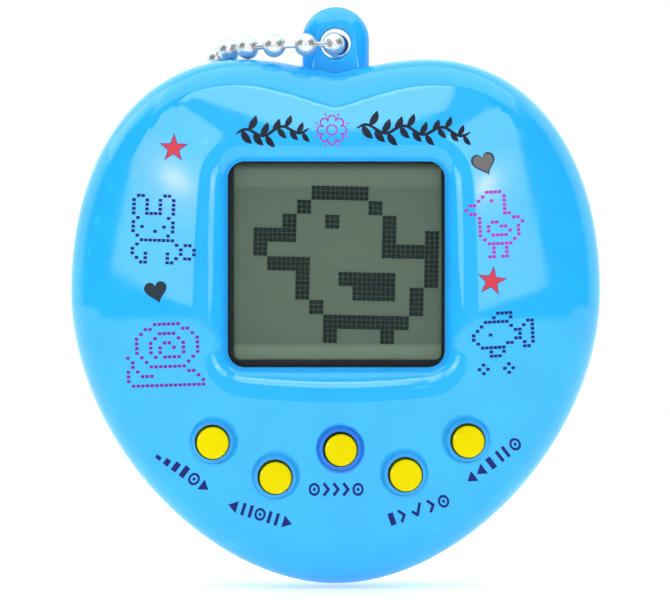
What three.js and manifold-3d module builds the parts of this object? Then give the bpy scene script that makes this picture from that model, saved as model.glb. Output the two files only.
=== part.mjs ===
// Virtual pet keychain: a heart-shaped handheld game with a loop tab, a small LCD window,
// five push buttons, a battery door on its back and a ball chain through the loop.
//
// Millimetres. The toy hangs upright: +Z is up, +X is right as seen from the front, and the
// front faces -Y. The origin is the centre of the loop hole, on the parting plane between
// the front and the back shell.

import * as THREE from 'three';
import { mergeVertices } from 'three/addons/utils/BufferGeometryUtils.js';
import Module from 'manifold-3d';

const wasm = await Module();
wasm.setup();

// ---- Driving dimensions -----------------------------------------------------------------

// Heart outline of the shells at the parting plane, and the softer heart where the round rim
// meets the domed front. Each half is three Bezier curves between tip, widest point, lobe
// peak and notch; reach is the length of the handles at those points.
const OUTER_HEART = {
  tip: [0, -56.15],
  wide: [27.5, -25.7],
  peak: [9.6, -1.68],
  notch: [0, -3.1],
  reach: { tip: 13.25, below: 15.54, above: 13.98, outer: 10.85, inner: 3.4, notch: 3.2 },
  notchSlope: 0.2,
};
const SHOULDER_HEART = {
  tip: [0, -52.2],
  wide: [24.05, -25.9],
  peak: [10.0, -4.7],
  notch: [0, -7.0],
  reach: { tip: 11.6, below: 13.6, above: 12.9, outer: 9.7, inner: 3.6, notch: 3.4 },
  notchSlope: 0.32,
};
const HEART_CENTRE = [0, -26];
const CURVE_STEPS = [10, 10, 4];

const SEAM_GAP = 0.05;
const TOUCH_GAP = 0.05;
const BEYOND = 1;
const WALL = 1.6;
const WALL_SIDEWAYS = 1.8;

// Front shell: the rim rises from the seam to the shoulder, then the dome to its crown.
// Each rim step is [share of the way from the outer heart to the shoulder, depth].
const FRONT_RIM = [
  [0, 1.5],
  [0.07, 2.7],
  [0.2, 3.7],
  [0.42, 4.7],
  [0.7, 5.5],
  [1, 6.05],
];
const SHOULDER_DEPTH = 6.05;
const CROWN_RISE = 2.65;
const DOME_STEPS = [0.86, 0.7, 0.5, 0.25];

// Back shell: each step is [distance in from the outline, depth behind the seam].
const BACK_RIM = [
  [0, 1.5],
  [0.3, 3.2],
  [1.0, 5.0],
  [2.1, 6.6],
  [3.4, 7.7],
  [4.8, 8.2],
];
const BACK_DEPTH = 8.2;

const TAB = { halfWidth: 3.4, top: 3.86, root: -4.4, halfThick: 1.6, edge: 0.5, hole: 1.575 };

// Screen opening: a rounded rectangle [left, bottom, right, top].
const WINDOW = [-11.07, -33.6, 11.2, -12.46];
const WINDOW_CORNER = 1.7;
const WINDOW_LIP = { front: -6.3, back: -5.0 };
const WINDOW_FRAME = 2.1;
const BEVEL_REACH = 3.9;
const LENS_GAP = 0.2;
const LCD_OPENING = [-10.5, -32.85, 10.9, -12.7];
const GASKET = [-12.6, -34.9, 12.8, -11.2];
const LCD_GLASS = [-13.2, -36.7, 13.6, -11.0];
const LCD_FRAME = [-15.0, -38.2, 15.4, -9.4];
const LCD_CONNECTOR = [-11.0, -36.2, 11.4, -34.6];
const FRAME_CORNER = 1.5;
const GLASS_ROOM = 0.3;
const LAYERS = {
  lens: [-6.2, -5.05],
  gasket: [-4.95, -4.35],
  lcd: [-4.3, -2.5],
  lcdFrame: [-4.3, -1.65],
  connector: [-2.45, -1.65],
  board: [-1.6, -0.6],
  bayFloor: [-0.4, 0.4],
  contact: [0.42, 0.67],
  cell: [0.75, 6.15],
  link: [6.3, 6.6],
  door: [6.65, 8.2],
};

// Buttons, left to right, at [x, z].
const BUTTONS = {
  status: [-12.66, -41.29],
  select: [-6.22, -44.87],
  reset: [0.48, -41.99],
  decide: [7.14, -44.61],
  cancel: [13.56, -41.16],
};
const CAP = {
  radius: 1.62,
  faceRadius: 1.3,
  proud: 0.3,
  crown: 0.25,
  faceDrop: 0.08,
  flange: 2.3,
  flangeFront: -4.5,
  foot: -3.9,
};
const BUTTON_HOLE = 1.8;
const DISH = { radius: 2.55, floor: 2.15, depth: 0.45 };
const GUIDE = { radius: 2.8, end: -4.6, roomBehind: 3.5 };
const DOME_SWITCH = { base: 2.3, top: 1.5, front: -3.85, skirt: 0.4, shoulder: 0.5 };

// Screws and their bosses at [x, z].
const CASE_SCREWS = { left: [-19, -13], right: [19, -13], bottom: [0, -50.8] };
const CASE_SCREW = { head: 2.0, shank: 0.85, seat: 5.2, headThick: 1.2, tip: -3.9 };
const BOSS = {
  radius: 2.3,
  backRadius: 2.9,
  pilot: 0.95,
  clear: 1.15,
  counterbore: 2.35,
  meet: 0.2,
};
const BOARD_SCREWS = { left: [-18.6, -24], right: [18.6, -24] };
const BOARD_SCREW = { head: 1.4, shank: 0.5, headThick: 0.8, tip: -3.9 };
const SCREW_SHAPE = {
  point: 0.8,
  edge: 0.35,
  flat: 0.75,
  slot: 0.6,
  slotHalf: 0.2,
  slotDepth: 0.45,
};
const POST = { radius: 1.6, pilot: 0.62, end: -1.7, boardHole: 0.82 };
const PILOT_ROOM = 0.4;

// Circuit board: as wide as the shells allow, and cut straight across below.
const BOARD_INSET = 4.6;
const BOARD_BELOW = [-30, -60, 30, -48.1];
const SCREW_ROOM = 0.5;
const CRYSTAL = { at: [-12.5, -14], radius: 1, length: 6 };
const BLOB = { at: [-6.5, -23], profile: [[4.5, 0], [4.1, 0.7], [2.6, 1.3], [0, 1.5]] };
const CAPACITOR = { at: [-17, -32], radius: 2, back: 4.4 };
const RESISTOR = { rect: [-9.5, -13.6, -6.3, -12], thick: 0.6 };

// Battery bay: two button cells in line under one door, held by a small screw.
const CELL = { radius: 5.8, cap: 4.6, rim: 0.35 };
const CELLS = { upper: [8, -23.3], lower: [8, -35.9] };
const CONTACT = { left: 4.4, right: 3, half: 2.5 };
const PIN = { offset: 3.5, radius: 0.4, hole: 0.6 };
const LINK_HALF = 3;
const BAY = [1.8, -42.0, 14.2, -17.2];
const BAY_BLOCK = [0.4, -44.0, 15.6, -15.9];
const DOOR = [1.2, -43.2, 14.8, -12.4];
const DOOR_CORNER = 2.0;
const DOOR_GAP = 0.15;
const DOOR_LEDGE = 4.6;
const LEDGE_WALL = 0.8;
const LEDGE_THICK = 0.6;
const SHANK_ROOM = 0.1;
const HEAD_ROOM = 0.25;
const TIP_ROOM = 0.3;
const DOOR_SCREW = { at: [8, -14.9], head: 1.5, shank: 0.7, tip: 3.4, seat: 7.1, top: 7.95 };

// Finger grips across the door's lower end.
const GRIPS = { count: 4, low: -41.2, pitch: 1.3, half: 3.6, width: 0.6, depth: 0.35 };

// Shallow flat for a stick-on label: [left, bottom, right, top].
const LABEL_FLAT = [-20.6, -32, -15.6, -20];
const LABEL_DEPTH = 0.15;
const LABEL_CORNER = 0.8;

const BUZZER = {
  at: [-8, -30],
  radius: 6,
  plate: [6.1, 6.4],
  ceramic: 4.2,
  ceramicThick: 0.25,
};
// Each wire: where it is soldered, [x, z] from the buzzer's centre, and then [x, y, z] points
// down to the board, the last with no y because it ends at the board.
const BUZZER_WIRES = {
  red: [[2, -1.5], [2.3, 4.4, -3.2], [3.4, 2.6, -5.2], [3.6, null, -6.5]],
  black: [[-1.4, -2.5], [-1.2, 4.4, -4.2], [0, 2.6, -6], [1, null, -7.4]],
};
const WIRE_END_GAP = 0.3;
const SOUND_HOLE = { radius: 0.6, spread: 2.3, count: 5, from: 6 };
const WIRE_RADIUS = 0.45;

// Ball chain: the centreline of its beads, from the coupling up behind the loop, forward
// through the hole, left over the lobe and down the back to the coupling again.
const CHAIN_RADIUS = 1.2;
const CHAIN_ROUTE = [
  [-2.2, 9.95, -13.5],
  [-2.1, 9.9, -10.2],
  [-1.6, 9.3, -6.6],
  [-0.8, 8, -3.2],
  [0.1, 5.9, -0.9],
  [0.4, 3.6, -0.15],
  [0.2, 1.4, 0],
  [0, 0, 0],
  [-0.2, -1.95, -0.1],
  [-1.65, -2.95, -0.2],
  [-3.2, -3.3, -0.3],
  [-6.4, -2.95, -0.37],
  [-9.25, -1.1, -0.44],
  [-11.2, 1.5, -0.55],
  [-12.45, 4.4, -1.3],
  [-13, 7.3, -3],
  [-13.1, 9.4, -6.1],
  [-13, 9.95, -10.5],
  [-13, 9.95, -18],
  [-13, 9.95, -26],
  [-12.8, 9.95, -33.5],
  [-11.6, 9.95, -37.2],
  [-9.4, 9.95, -39.4],
  [-7.6, 9.95, -39.9],
  [-5.8, 9.95, -39.4],
  [-3.6, 9.95, -37.2],
  [-2.4, 9.95, -33.5],
  [-2.2, 9.95, -28],
  [-2.2, 9.95, -22.5],
];
const CHAIN_STEPS = 64;
const COUPLING = { x: -2.2, y: 9.95, low: -22.2, high: -13.8, radius: 1.45, lip: 0.45 };

// ---- Materials --------------------------------------------------------------------------

function finish(colour, roughness, metalness = 0, extra = {}) {
  return new THREE.MeshStandardMaterial({ color: colour, roughness, metalness, ...extra });
}

const MATERIALS = {
  blueShell: finish(0x41c0fe, 0.18),
  yellowCap: finish(0xf0e003, 0.35),
  clearLens: finish(0xffffff, 0.05, 0, { transparent: true, opacity: 0.35 }),
  blackFoam: finish(0x101214, 0.8),
  lcdGlass: finish(0x6b765f, 0.3),
  whitePlastic: finish(0xe6e6e0, 0.5),
  darkRubber: finish(0x2a2a2c, 0.85),
  clearSilicone: finish(0xc9ccc8, 0.6),
  greenBoard: finish(0x1e6b3c, 0.45),
  blackEpoxy: finish(0x0c0c0d, 0.3),
  nickel: finish(0xd8d8d4, 0.15, 1),
  steel: finish(0xb4b6b8, 0.3, 1),
  brass: finish(0xc9a24e, 0.3, 1),
  paleCeramic: finish(0xe9e4d2, 0.6),
  redWire: finish(0xb01818, 0.5),
  blackWire: finish(0x141414, 0.5),
};

// ---- Solid helpers ----------------------------------------------------------------------

function solid(geometry) {
  const bare = geometry.index ? geometry.clone() : geometry;
  bare.deleteAttribute('normal');
  bare.deleteAttribute('uv');
  const merged = mergeVertices(bare, 1e-4);
  return new wasm.Manifold(new wasm.Mesh({
    numProp: 3,
    vertProperties: new Float32Array(merged.attributes.position.array),
    triVerts: new Uint32Array(merged.index.array),
  }));
}

function meshOf(name, body, material) {
  const { vertProperties, triVerts } = body.getMesh();
  const geometry = new THREE.BufferGeometry();
  geometry.setAttribute('position', new THREE.BufferAttribute(vertProperties, 3));
  geometry.setIndex(new THREE.BufferAttribute(triVerts, 1));
  geometry.computeVertexNormals();
  const mesh = new THREE.Mesh(geometry, material);
  mesh.name = name;
  return mesh;
}

function joined(bodies) {
  return bodies.reduce((sum, body) => sum.add(body));
}

// A round bar along Y at [x, z], with its own radius at each end.
function bar([x, z], radius, front, back, segments = 20, backRadius = radius) {
  const geometry = new THREE.CylinderGeometry(backRadius, radius, back - front, segments);
  geometry.translate(x, (front + back) / 2, z);
  return solid(geometry);
}

// A profile of [radius, y] points, from either end, turned about an axis along Y at [x, z].
function turned([x, z], profile, segments = 24) {
  const rising = profile.at(-1)[1] > profile[0][1] ? profile : [...profile].reverse();
  const points = rising.map(([radius, y]) => new THREE.Vector2(radius, y));
  const geometry = new THREE.LatheGeometry(points, segments);
  geometry.translate(x, 0, z);
  return solid(geometry);
}

// A flat outline in X and Z, extruded along Y from front to back.
function slab(shape, front, back, bevel = 0) {
  const geometry = new THREE.ExtrudeGeometry(shape, {
    depth: back - front - 2 * bevel,
    bevelEnabled: bevel > 0,
    bevelThickness: bevel,
    bevelSize: bevel,
    bevelOffset: -bevel,
    bevelSegments: 1,
    curveSegments: 6,
  });
  geometry.rotateX(Math.PI / 2);
  geometry.translate(0, back - bevel, 0);
  return solid(geometry);
}

function roundedRect([left, bottom, right, top], radius) {
  const shape = new THREE.Shape();
  shape.moveTo(left + radius, bottom);
  shape.lineTo(right - radius, bottom);
  shape.absarc(right - radius, bottom + radius, radius, -Math.PI / 2, 0);
  shape.lineTo(right, top - radius);
  shape.absarc(right - radius, top - radius, radius, 0, Math.PI / 2);
  shape.lineTo(left + radius, top);
  shape.absarc(left + radius, top - radius, radius, Math.PI / 2, Math.PI);
  shape.lineTo(left, bottom + radius);
  shape.absarc(left + radius, bottom + radius, radius, Math.PI, 1.5 * Math.PI);
  return shape;
}

function block([left, bottom, right, top], [front, back]) {
  const geometry = new THREE.BoxGeometry(right - left, back - front, top - bottom);
  geometry.translate((left + right) / 2, (front + back) / 2, (bottom + top) / 2);
  return solid(geometry);
}

function grown([left, bottom, right, top], by) {
  return [left - by, bottom - by, right + by, top + by];
}

// Layers of outlines with equal point counts, front to back, skinned into a closed body.
function loft(layers) {
  const count = layers[0].outline.length;
  const positions = [];
  const faces = [];
  for (const { outline, y } of layers) {
    outline.forEach(([x, z]) => positions.push(x, y, z));
  }
  for (let layer = 0; layer < layers.length - 1; layer += 1) {
    for (let i = 0; i < count; i += 1) {
      const next = (i + 1) % count;
      const [a, b] = [layer * count, (layer + 1) * count];
      faces.push(a + i, b + i, a + next);
      faces.push(a + next, b + i, b + next);
    }
  }
  const last = (layers.length - 1) * count;
  const frontHub = positions.length / 3;
  positions.push(...hub(layers[0]), ...hub(layers.at(-1)));
  for (let i = 0; i < count; i += 1) {
    const next = (i + 1) % count;
    faces.push(i, next, frontHub);
    faces.push(last + next, last + i, frontHub + 1);
  }
  const geometry = new THREE.BufferGeometry();
  geometry.setAttribute('position', new THREE.BufferAttribute(new Float32Array(positions), 3));
  geometry.setIndex(faces);
  return solid(geometry);
}

function hub({ outline, y }) {
  const sum = outline.reduce(([sx, sz], [x, z]) => [sx + x, sz + z], [0, 0]);
  return [sum[0] / outline.length, y, sum[1] / outline.length];
}

// ---- Heart outlines ---------------------------------------------------------------------

function heartOutline({ tip, wide, peak, notch, reach, notchSlope }) {
  const at = ([x, z], dx, dz) => new THREE.Vector2(x + dx, z + dz);
  const curves = [
    new THREE.CubicBezierCurve(
      at(tip, 0, 0), at(tip, reach.tip, 0), at(wide, 0, -reach.below), at(wide, 0, 0)),
    new THREE.CubicBezierCurve(
      at(wide, 0, 0), at(wide, 0, reach.above), at(peak, reach.outer, 0), at(peak, 0, 0)),
    new THREE.CubicBezierCurve(
      at(peak, 0, 0), at(peak, -reach.inner, 0),
      at(notch, reach.notch, reach.notch * notchSlope), at(notch, 0, 0)),
  ];
  const right = curves.flatMap((curve, i) => curve.getPoints(CURVE_STEPS[i]).slice(0, -1));
  const half = right.map(({ x, y }) => [x, y]);
  const mirrored = half.slice(1).reverse().map(([x, z]) => [-x, z]);
  return [...half, notch, ...mirrored];
}

function between(from, to, share) {
  return from.map(([x, z], i) => [
    x + (to[i][0] - x) * share,
    z + (to[i][1] - z) * share,
  ]);
}

function insetBy(outline, distance) {
  const [cx, cz] = HEART_CENTRE;
  return outline.map(([x, z]) => {
    const share = distance / Math.hypot(x - cx, z - cz);
    return [x + (cx - x) * share, z + (cz - z) * share];
  });
}

const outer = heartOutline(OUTER_HEART);
const shoulder = heartOutline(SHOULDER_HEART);
const centre = outer.map(() => HEART_CENTRE);

function domeDepth(share) {
  return SHOULDER_DEPTH + CROWN_RISE * (1 - share * share);
}

// How far the front surface stands forward of the seam at [x, z] on the dome.
function frontDepthAt([x, z]) {
  const [cx, cz] = HEART_CENTRE;
  const direction = Math.atan2(z - cz, x - cx);
  const bearing = ([px, pz]) => Math.abs(Math.atan2(pz - cz, px - cx) - direction);
  const edge = shoulder.reduce((best, point) => (bearing(point) < bearing(best) ? point : best));
  const share = Math.hypot(x - cx, z - cz) / Math.hypot(edge[0] - cx, edge[1] - cz);
  return domeDepth(share);
}

function frontLayers() {
  const dome = [...DOME_STEPS].reverse().map((share) => ({
    outline: between(centre, shoulder, share),
    y: -domeDepth(share),
  }));
  const rim = [...FRONT_RIM].reverse().map(([share, depth]) => ({
    outline: between(outer, shoulder, share),
    y: -depth,
  }));
  return [...dome, ...rim, { outline: outer, y: -SEAM_GAP }];
}

function backLayers() {
  const rim = BACK_RIM.map(([inset, depth]) => ({ outline: insetBy(outer, inset), y: depth }));
  return [{ outline: outer, y: SEAM_GAP }, ...rim];
}

// The hollow inside a shell: every other layer, moved in by the wall and run past the seam.
function hollow(layers, towardsSeam) {
  const kept = layers.filter((layer, i) => i % 2 === 0 || i === layers.length - 1);
  return kept.map(({ outline, y }) => ({
    outline: insetBy(outline, WALL_SIDEWAYS),
    y: y + towardsSeam * (Math.abs(y) <= SEAM_GAP ? 1 : WALL),
  }));
}

const frontBody = loft(frontLayers());
const backBody = loft(backLayers());

// ---- Loop tab ---------------------------------------------------------------------------

function tabHalf(front, back) {
  const { halfWidth, top, root, halfThick, edge, hole } = TAB;
  const shape = new THREE.Shape();
  shape.moveTo(-halfWidth, root);
  shape.lineTo(halfWidth, root);
  shape.absarc(0, top - halfWidth, halfWidth, 0, Math.PI);
  const whole = slab(shape, -halfThick, halfThick, edge);
  const half = block(grown([-halfWidth, root, halfWidth, top], BEYOND), [front, back]);
  const bore = bar([0, 0], hole, -halfThick - BEYOND, halfThick + BEYOND, 20);
  const mouths = [
    bar([0, 0], hole + edge, -halfThick, edge - halfThick, 20, hole),
    bar([0, 0], hole, halfThick - edge, halfThick, 20, hole + edge),
  ];
  return whole.intersect(half).subtract(bore).subtract(joined(mouths));
}

// ---- Front shell ------------------------------------------------------------------------

function roundedRing([left, bottom, right, top], radius) {
  const corners = [
    [right - radius, bottom + radius, -Math.PI / 2],
    [right - radius, top - radius, 0],
    [left + radius, top - radius, Math.PI / 2],
    [left + radius, bottom + radius, Math.PI],
  ];
  const steps = 4;
  return corners.flatMap(([x, z, start]) => Array.from({ length: steps + 1 }, (_, i) => {
    const angle = start + (i / steps) * (Math.PI / 2);
    return [x + radius * Math.cos(angle), z + radius * Math.sin(angle)];
  }));
}

function screenRecess() {
  const floor = WINDOW_LIP.front;
  return loft([
    {
      outline: roundedRing(grown(WINDOW, BEVEL_REACH), WINDOW_CORNER + BEVEL_REACH),
      y: floor - BEVEL_REACH,
    },
    { outline: roundedRing(WINDOW, WINDOW_CORNER), y: floor },
    { outline: roundedRing(WINDOW, WINDOW_CORNER), y: WINDOW_LIP.back + BEYOND },
  ]);
}

function buttonWell(at) {
  const surface = -frontDepthAt(at);
  return turned(at, [
    [0, GUIDE.end + GUIDE.roomBehind],
    [GUIDE.radius, GUIDE.end + GUIDE.roomBehind],
    [GUIDE.radius, GUIDE.end],
    [BUTTON_HOLE, GUIDE.end],
    [BUTTON_HOLE, surface + DISH.depth],
    [DISH.floor, surface + DISH.depth],
    [DISH.radius, surface],
    [DISH.radius + (DISH.radius - DISH.floor) / DISH.depth, surface - 1],
    [0, surface - 1],
  ], 20);
}

function pilot(at, radius, tip) {
  return bar(at, radius, tip - PILOT_ROOM, BEYOND, 12);
}

function frontShell() {
  const deep = -BACK_DEPTH - CROWN_RISE;
  const behindScreen = block(grown(WINDOW, WINDOW_FRAME), [deep, WINDOW_LIP.back]);
  const cavity = loft(hollow(frontLayers(), 1)).subtract(behindScreen);
  const ribs = [
    ...Object.values(CASE_SCREWS).map((at) => bar(at, BOSS.radius, deep, -BOSS.meet, 14)),
    ...Object.values(BOARD_SCREWS).map((at) => bar(at, POST.radius, deep, POST.end, 12)),
    ...Object.values(BUTTONS).map((at) => bar(at, GUIDE.radius, deep, GUIDE.end, 20)),
  ];
  const pilots = [
    ...Object.values(CASE_SCREWS).map((at) => pilot(at, BOSS.pilot, CASE_SCREW.tip)),
    ...Object.values(BOARD_SCREWS).map((at) => pilot(at, POST.pilot, BOARD_SCREW.tip)),
  ];
  const wells = Object.values(BUTTONS).map(buttonWell);
  return frontBody
    .subtract(cavity)
    .add(joined(ribs).intersect(frontBody))
    .add(tabHalf(-TAB.halfThick, -SEAM_GAP))
    .subtract(screenRecess())
    .subtract(joined([...pilots, ...wells]));
}

// ---- Screen stack -----------------------------------------------------------------------

function screenLens() {
  const shape = roundedRect(grown(WINDOW, -LENS_GAP), WINDOW_CORNER - LENS_GAP);
  return slab(shape, ...LAYERS.lens);
}

function frameSlab(outside, inside, [front, back]) {
  const hole = block(inside, [front - BEYOND, back + BEYOND]);
  return slab(roundedRect(outside, FRAME_CORNER), front, back).subtract(hole);
}

function screenParts() {
  return [
    meshOf('screen_lens', screenLens(), MATERIALS.clearLens),
    meshOf('screen_gasket', frameSlab(GASKET, LCD_OPENING, LAYERS.gasket), MATERIALS.blackFoam),
    meshOf('lcd_panel', block(LCD_GLASS, LAYERS.lcd), MATERIALS.lcdGlass),
    meshOf('lcd_frame', frameSlab(LCD_FRAME, grown(LCD_GLASS, GLASS_ROOM), LAYERS.lcdFrame),
      MATERIALS.whitePlastic),
    meshOf('lcd_connector', block(LCD_CONNECTOR, LAYERS.connector), MATERIALS.darkRubber),
  ];
}

// ---- Buttons ----------------------------------------------------------------------------

function buttonCap(at) {
  const face = -frontDepthAt(at) - CAP.proud;
  const edge = face + CAP.crown;
  return turned(at, [
    [0, CAP.foot],
    [CAP.flange, CAP.foot],
    [CAP.flange, CAP.flangeFront],
    [CAP.radius, CAP.flangeFront],
    [CAP.radius, edge],
    [CAP.faceRadius, face + CAP.faceDrop],
    [0, face],
  ], 20);
}

function rubberDome(at) {
  const base = LAYERS.board[0] - TOUCH_GAP;
  return turned(at, [
    [0, base],
    [DOME_SWITCH.base, base],
    [DOME_SWITCH.base, base - DOME_SWITCH.skirt],
    [DOME_SWITCH.top, DOME_SWITCH.front + DOME_SWITCH.shoulder],
    [DOME_SWITCH.top, DOME_SWITCH.front],
    [0, DOME_SWITCH.front],
  ], 20);
}

function buttonParts() {
  return Object.entries(BUTTONS).flatMap(([name, at]) => [
    meshOf(`${name}_button`, buttonCap(at), MATERIALS.yellowCap),
    meshOf(`${name}_dome`, rubberDome(at), MATERIALS.clearSilicone),
  ]);
}

// ---- Circuit board ----------------------------------------------------------------------

function circuitBoard() {
  const [front, back] = LAYERS.board;
  const through = [front - BEYOND, back + BEYOND];
  const outline = insetBy(outer, BOARD_INSET);
  const plate = loft([{ outline, y: front }, { outline, y: back }]);
  const below = block(BOARD_BELOW, through);
  const holes = [
    ...Object.values(CASE_SCREWS).map((at) => bar(at, BOSS.radius + SCREW_ROOM, ...through)),
    ...Object.values(BOARD_SCREWS).map((at) => bar(at, POST.boardHole, ...through, 14)),
  ];
  return plate.subtract(below).subtract(joined(holes));
}

function boardParts() {
  const back = LAYERS.board[1] + TOUCH_GAP;
  const crystal = new THREE.CylinderGeometry(CRYSTAL.radius, CRYSTAL.radius, CRYSTAL.length, 16);
  crystal.rotateX(Math.PI / 2);
  crystal.translate(CRYSTAL.at[0], back + CRYSTAL.radius, CRYSTAL.at[1]);
  const rise = BLOB.profile.map(([radius, height]) => [radius, back + height]);
  const blob = turned(BLOB.at, [[0, back], ...rise]);
  const capacitor = bar(CAPACITOR.at, CAPACITOR.radius, back, CAPACITOR.back);
  const resistor = block(RESISTOR.rect, [back, back + RESISTOR.thick]);
  return [
    meshOf('circuit_board', circuitBoard(), MATERIALS.greenBoard),
    meshOf('controller_blob', blob, MATERIALS.blackEpoxy),
    meshOf('crystal_can', solid(crystal), MATERIALS.steel),
    meshOf('capacitor', capacitor, MATERIALS.blackEpoxy),
    meshOf('resistor', resistor, MATERIALS.blackEpoxy),
  ];
}

// ---- Back shell -------------------------------------------------------------------------

function soundHoles() {
  const [x, z] = BUZZER.at;
  const step = (2 * Math.PI) / SOUND_HOLE.count;
  const around = Array.from({ length: SOUND_HOLE.count }, (_, i) => {
    const angle = Math.PI / 2 + i * step;
    return [x + SOUND_HOLE.spread * Math.cos(angle), z + SOUND_HOLE.spread * Math.sin(angle)];
  });
  const beyond = BACK_DEPTH + BEYOND;
  return [[x, z], ...around].map((at) => bar(at, SOUND_HOLE.radius, SOUND_HOLE.from, beyond, 12));
}

function contactPins() {
  return Object.values(CELLS).map(([x, z]) => bar([x - PIN.offset, z], PIN.hole, -BEYOND, BEYOND, 12));
}

function backShell() {
  const beyond = BACK_DEPTH + BEYOND;
  const cavity = loft(hollow(backLayers(), -1));
  const [left, , right, top] = DOOR;
  const ledge = grown([left, top - DOOR_LEDGE + LEDGE_WALL, right, top], LEDGE_WALL);
  const ribs = [
    block(BAY_BLOCK, [LAYERS.bayFloor[0], beyond]),
    block(ledge, [DOOR_SCREW.tip - LEDGE_THICK, beyond]),
    ...Object.values(CASE_SCREWS).map((at) => bar(at, BOSS.backRadius, BOSS.meet, beyond)),
  ];
  const inside = loft([
    { outline: outer, y: -BEYOND },
    ...backLayers(),
  ]);
  const doorway = roundedRect(grown(DOOR, DOOR_GAP), DOOR_CORNER);
  const openings = [
    block(BAY, [LAYERS.bayFloor[1], beyond]),
    slab(doorway, LAYERS.door[0] - TOUCH_GAP, beyond),
    bar(DOOR_SCREW.at, DOOR_SCREW.shank + SHANK_ROOM, DOOR_SCREW.tip - TIP_ROOM, beyond, 16),
    ...Object.values(CASE_SCREWS).flatMap((at) => [
      bar(at, BOSS.clear, -BEYOND, beyond, 18),
      bar(at, BOSS.counterbore, CASE_SCREW.seat, beyond),
    ]),
    slab(roundedRect(LABEL_FLAT, LABEL_CORNER), BACK_DEPTH - LABEL_DEPTH, beyond),
    ...soundHoles(),
    ...contactPins(),
  ];
  return backBody
    .subtract(cavity)
    .add(joined(ribs).intersect(inside))
    .add(tabHalf(SEAM_GAP, TAB.halfThick))
    .subtract(joined(openings));
}

// ---- Battery parts ----------------------------------------------------------------------

function buttonCell(at, capForward) {
  const [front, back] = LAYERS.cell;
  const profile = [
    [0, front],
    [CELL.cap, front],
    [CELL.cap, front + CELL.rim],
    [CELL.radius, front + CELL.rim],
    [CELL.radius, back],
    [0, back],
  ];
  const flipped = profile.map(([radius, y]) => [radius, front + back - y]).reverse();
  return turned(at, capForward ? profile : flipped, 32);
}

function contactPlate([x, z]) {
  const [front, back] = LAYERS.contact;
  const { left, right, half } = CONTACT;
  const plate = block([x - left, z - half, x + right, z + half], [front, back]);
  const pin = bar([x - PIN.offset, z], PIN.radius, LAYERS.board[1] + TOUCH_GAP, back, 12);
  return plate.add(pin);
}

function batteryDoor() {
  const [front, back] = LAYERS.door;
  const [x, z] = DOOR_SCREW.at;
  const plate = slab(roundedRect(DOOR, DOOR_CORNER - DOOR_GAP), front, back);
  const openings = [
    bar([x, z], DOOR_SCREW.shank + SHANK_ROOM, front - BEYOND, back + BEYOND, 16),
    bar([x, z], DOOR_SCREW.head + HEAD_ROOM, DOOR_SCREW.seat, back + BEYOND, 20),
  ];
  const grips = Array.from({ length: GRIPS.count }, (_, i) => {
    const low = GRIPS.low + i * GRIPS.pitch;
    const rect = [x - GRIPS.half, low, x + GRIPS.half, low + GRIPS.width];
    return block(rect, [back - GRIPS.depth, back + BEYOND]);
  });
  return plate.subtract(joined([...openings, ...grips]));
}

// A screw along Y with its tip forward and a cross slot in its head.
function screw(at, { head, shank, tip, seat, top }) {
  const [x, z] = at;
  const body = turned(at, [
    [0, tip],
    [shank, tip + SCREW_SHAPE.point],
    [shank, seat],
    [head, seat],
    [head, top - SCREW_SHAPE.edge],
    [head * SCREW_SHAPE.flat, top],
    [0, top],
  ], 20);
  const slot = head * SCREW_SHAPE.slot;
  const half = SCREW_SHAPE.slotHalf;
  const depths = [top - SCREW_SHAPE.slotDepth, top + BEYOND];
  const cross = [
    block([x - slot, z - half, x + slot, z + half], depths),
    block([x - half, z - slot, x + half, z + slot], depths),
  ];
  return body.subtract(joined(cross));
}

function batteryParts() {
  const [x] = CELLS.upper;
  const link = grown([x, CELLS.lower[1], x, CELLS.upper[1]], LINK_HALF);
  const doorScrew = { ...DOOR_SCREW, seat: DOOR_SCREW.seat + TOUCH_GAP };
  return [
    meshOf('battery_cell_upper', buttonCell(CELLS.upper, true), MATERIALS.steel),
    meshOf('battery_cell_lower', buttonCell(CELLS.lower, false), MATERIALS.steel),
    meshOf('battery_contact_upper', contactPlate(CELLS.upper), MATERIALS.nickel),
    meshOf('battery_contact_lower', contactPlate(CELLS.lower), MATERIALS.nickel),
    meshOf('battery_link_plate', block(link, LAYERS.link), MATERIALS.nickel),
    meshOf('battery_door', batteryDoor(), MATERIALS.blueShell),
    meshOf('battery_door_screw', screw(DOOR_SCREW.at, doorScrew), MATERIALS.steel),
  ];
}

// ---- Fasteners --------------------------------------------------------------------------

function screwParts() {
  const caseScrew = {
    ...CASE_SCREW,
    seat: CASE_SCREW.seat + TOUCH_GAP,
    top: CASE_SCREW.seat + CASE_SCREW.headThick,
  };
  const seat = LAYERS.board[1] + TOUCH_GAP;
  const boardScrew = { ...BOARD_SCREW, seat, top: seat + BOARD_SCREW.headThick };
  return [
    ...Object.entries(CASE_SCREWS).map(([side, at]) => (
      meshOf(`case_screw_${side}`, screw(at, caseScrew), MATERIALS.steel))),
    ...Object.entries(BOARD_SCREWS).map(([side, at]) => (
      meshOf(`board_screw_${side}`, screw(at, boardScrew), MATERIALS.steel))),
  ];
}

// ---- Buzzer -----------------------------------------------------------------------------

function wire(points) {
  const section = new THREE.Shape();
  section.absarc(0, 0, WIRE_RADIUS, 0, 2 * Math.PI);
  const curve = new THREE.CatmullRomCurve3(points.map((point) => new THREE.Vector3(...point)));
  return solid(new THREE.ExtrudeGeometry(section, {
    steps: 14,
    curveSegments: 4,
    extrudePath: curve,
  }));
}

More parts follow.
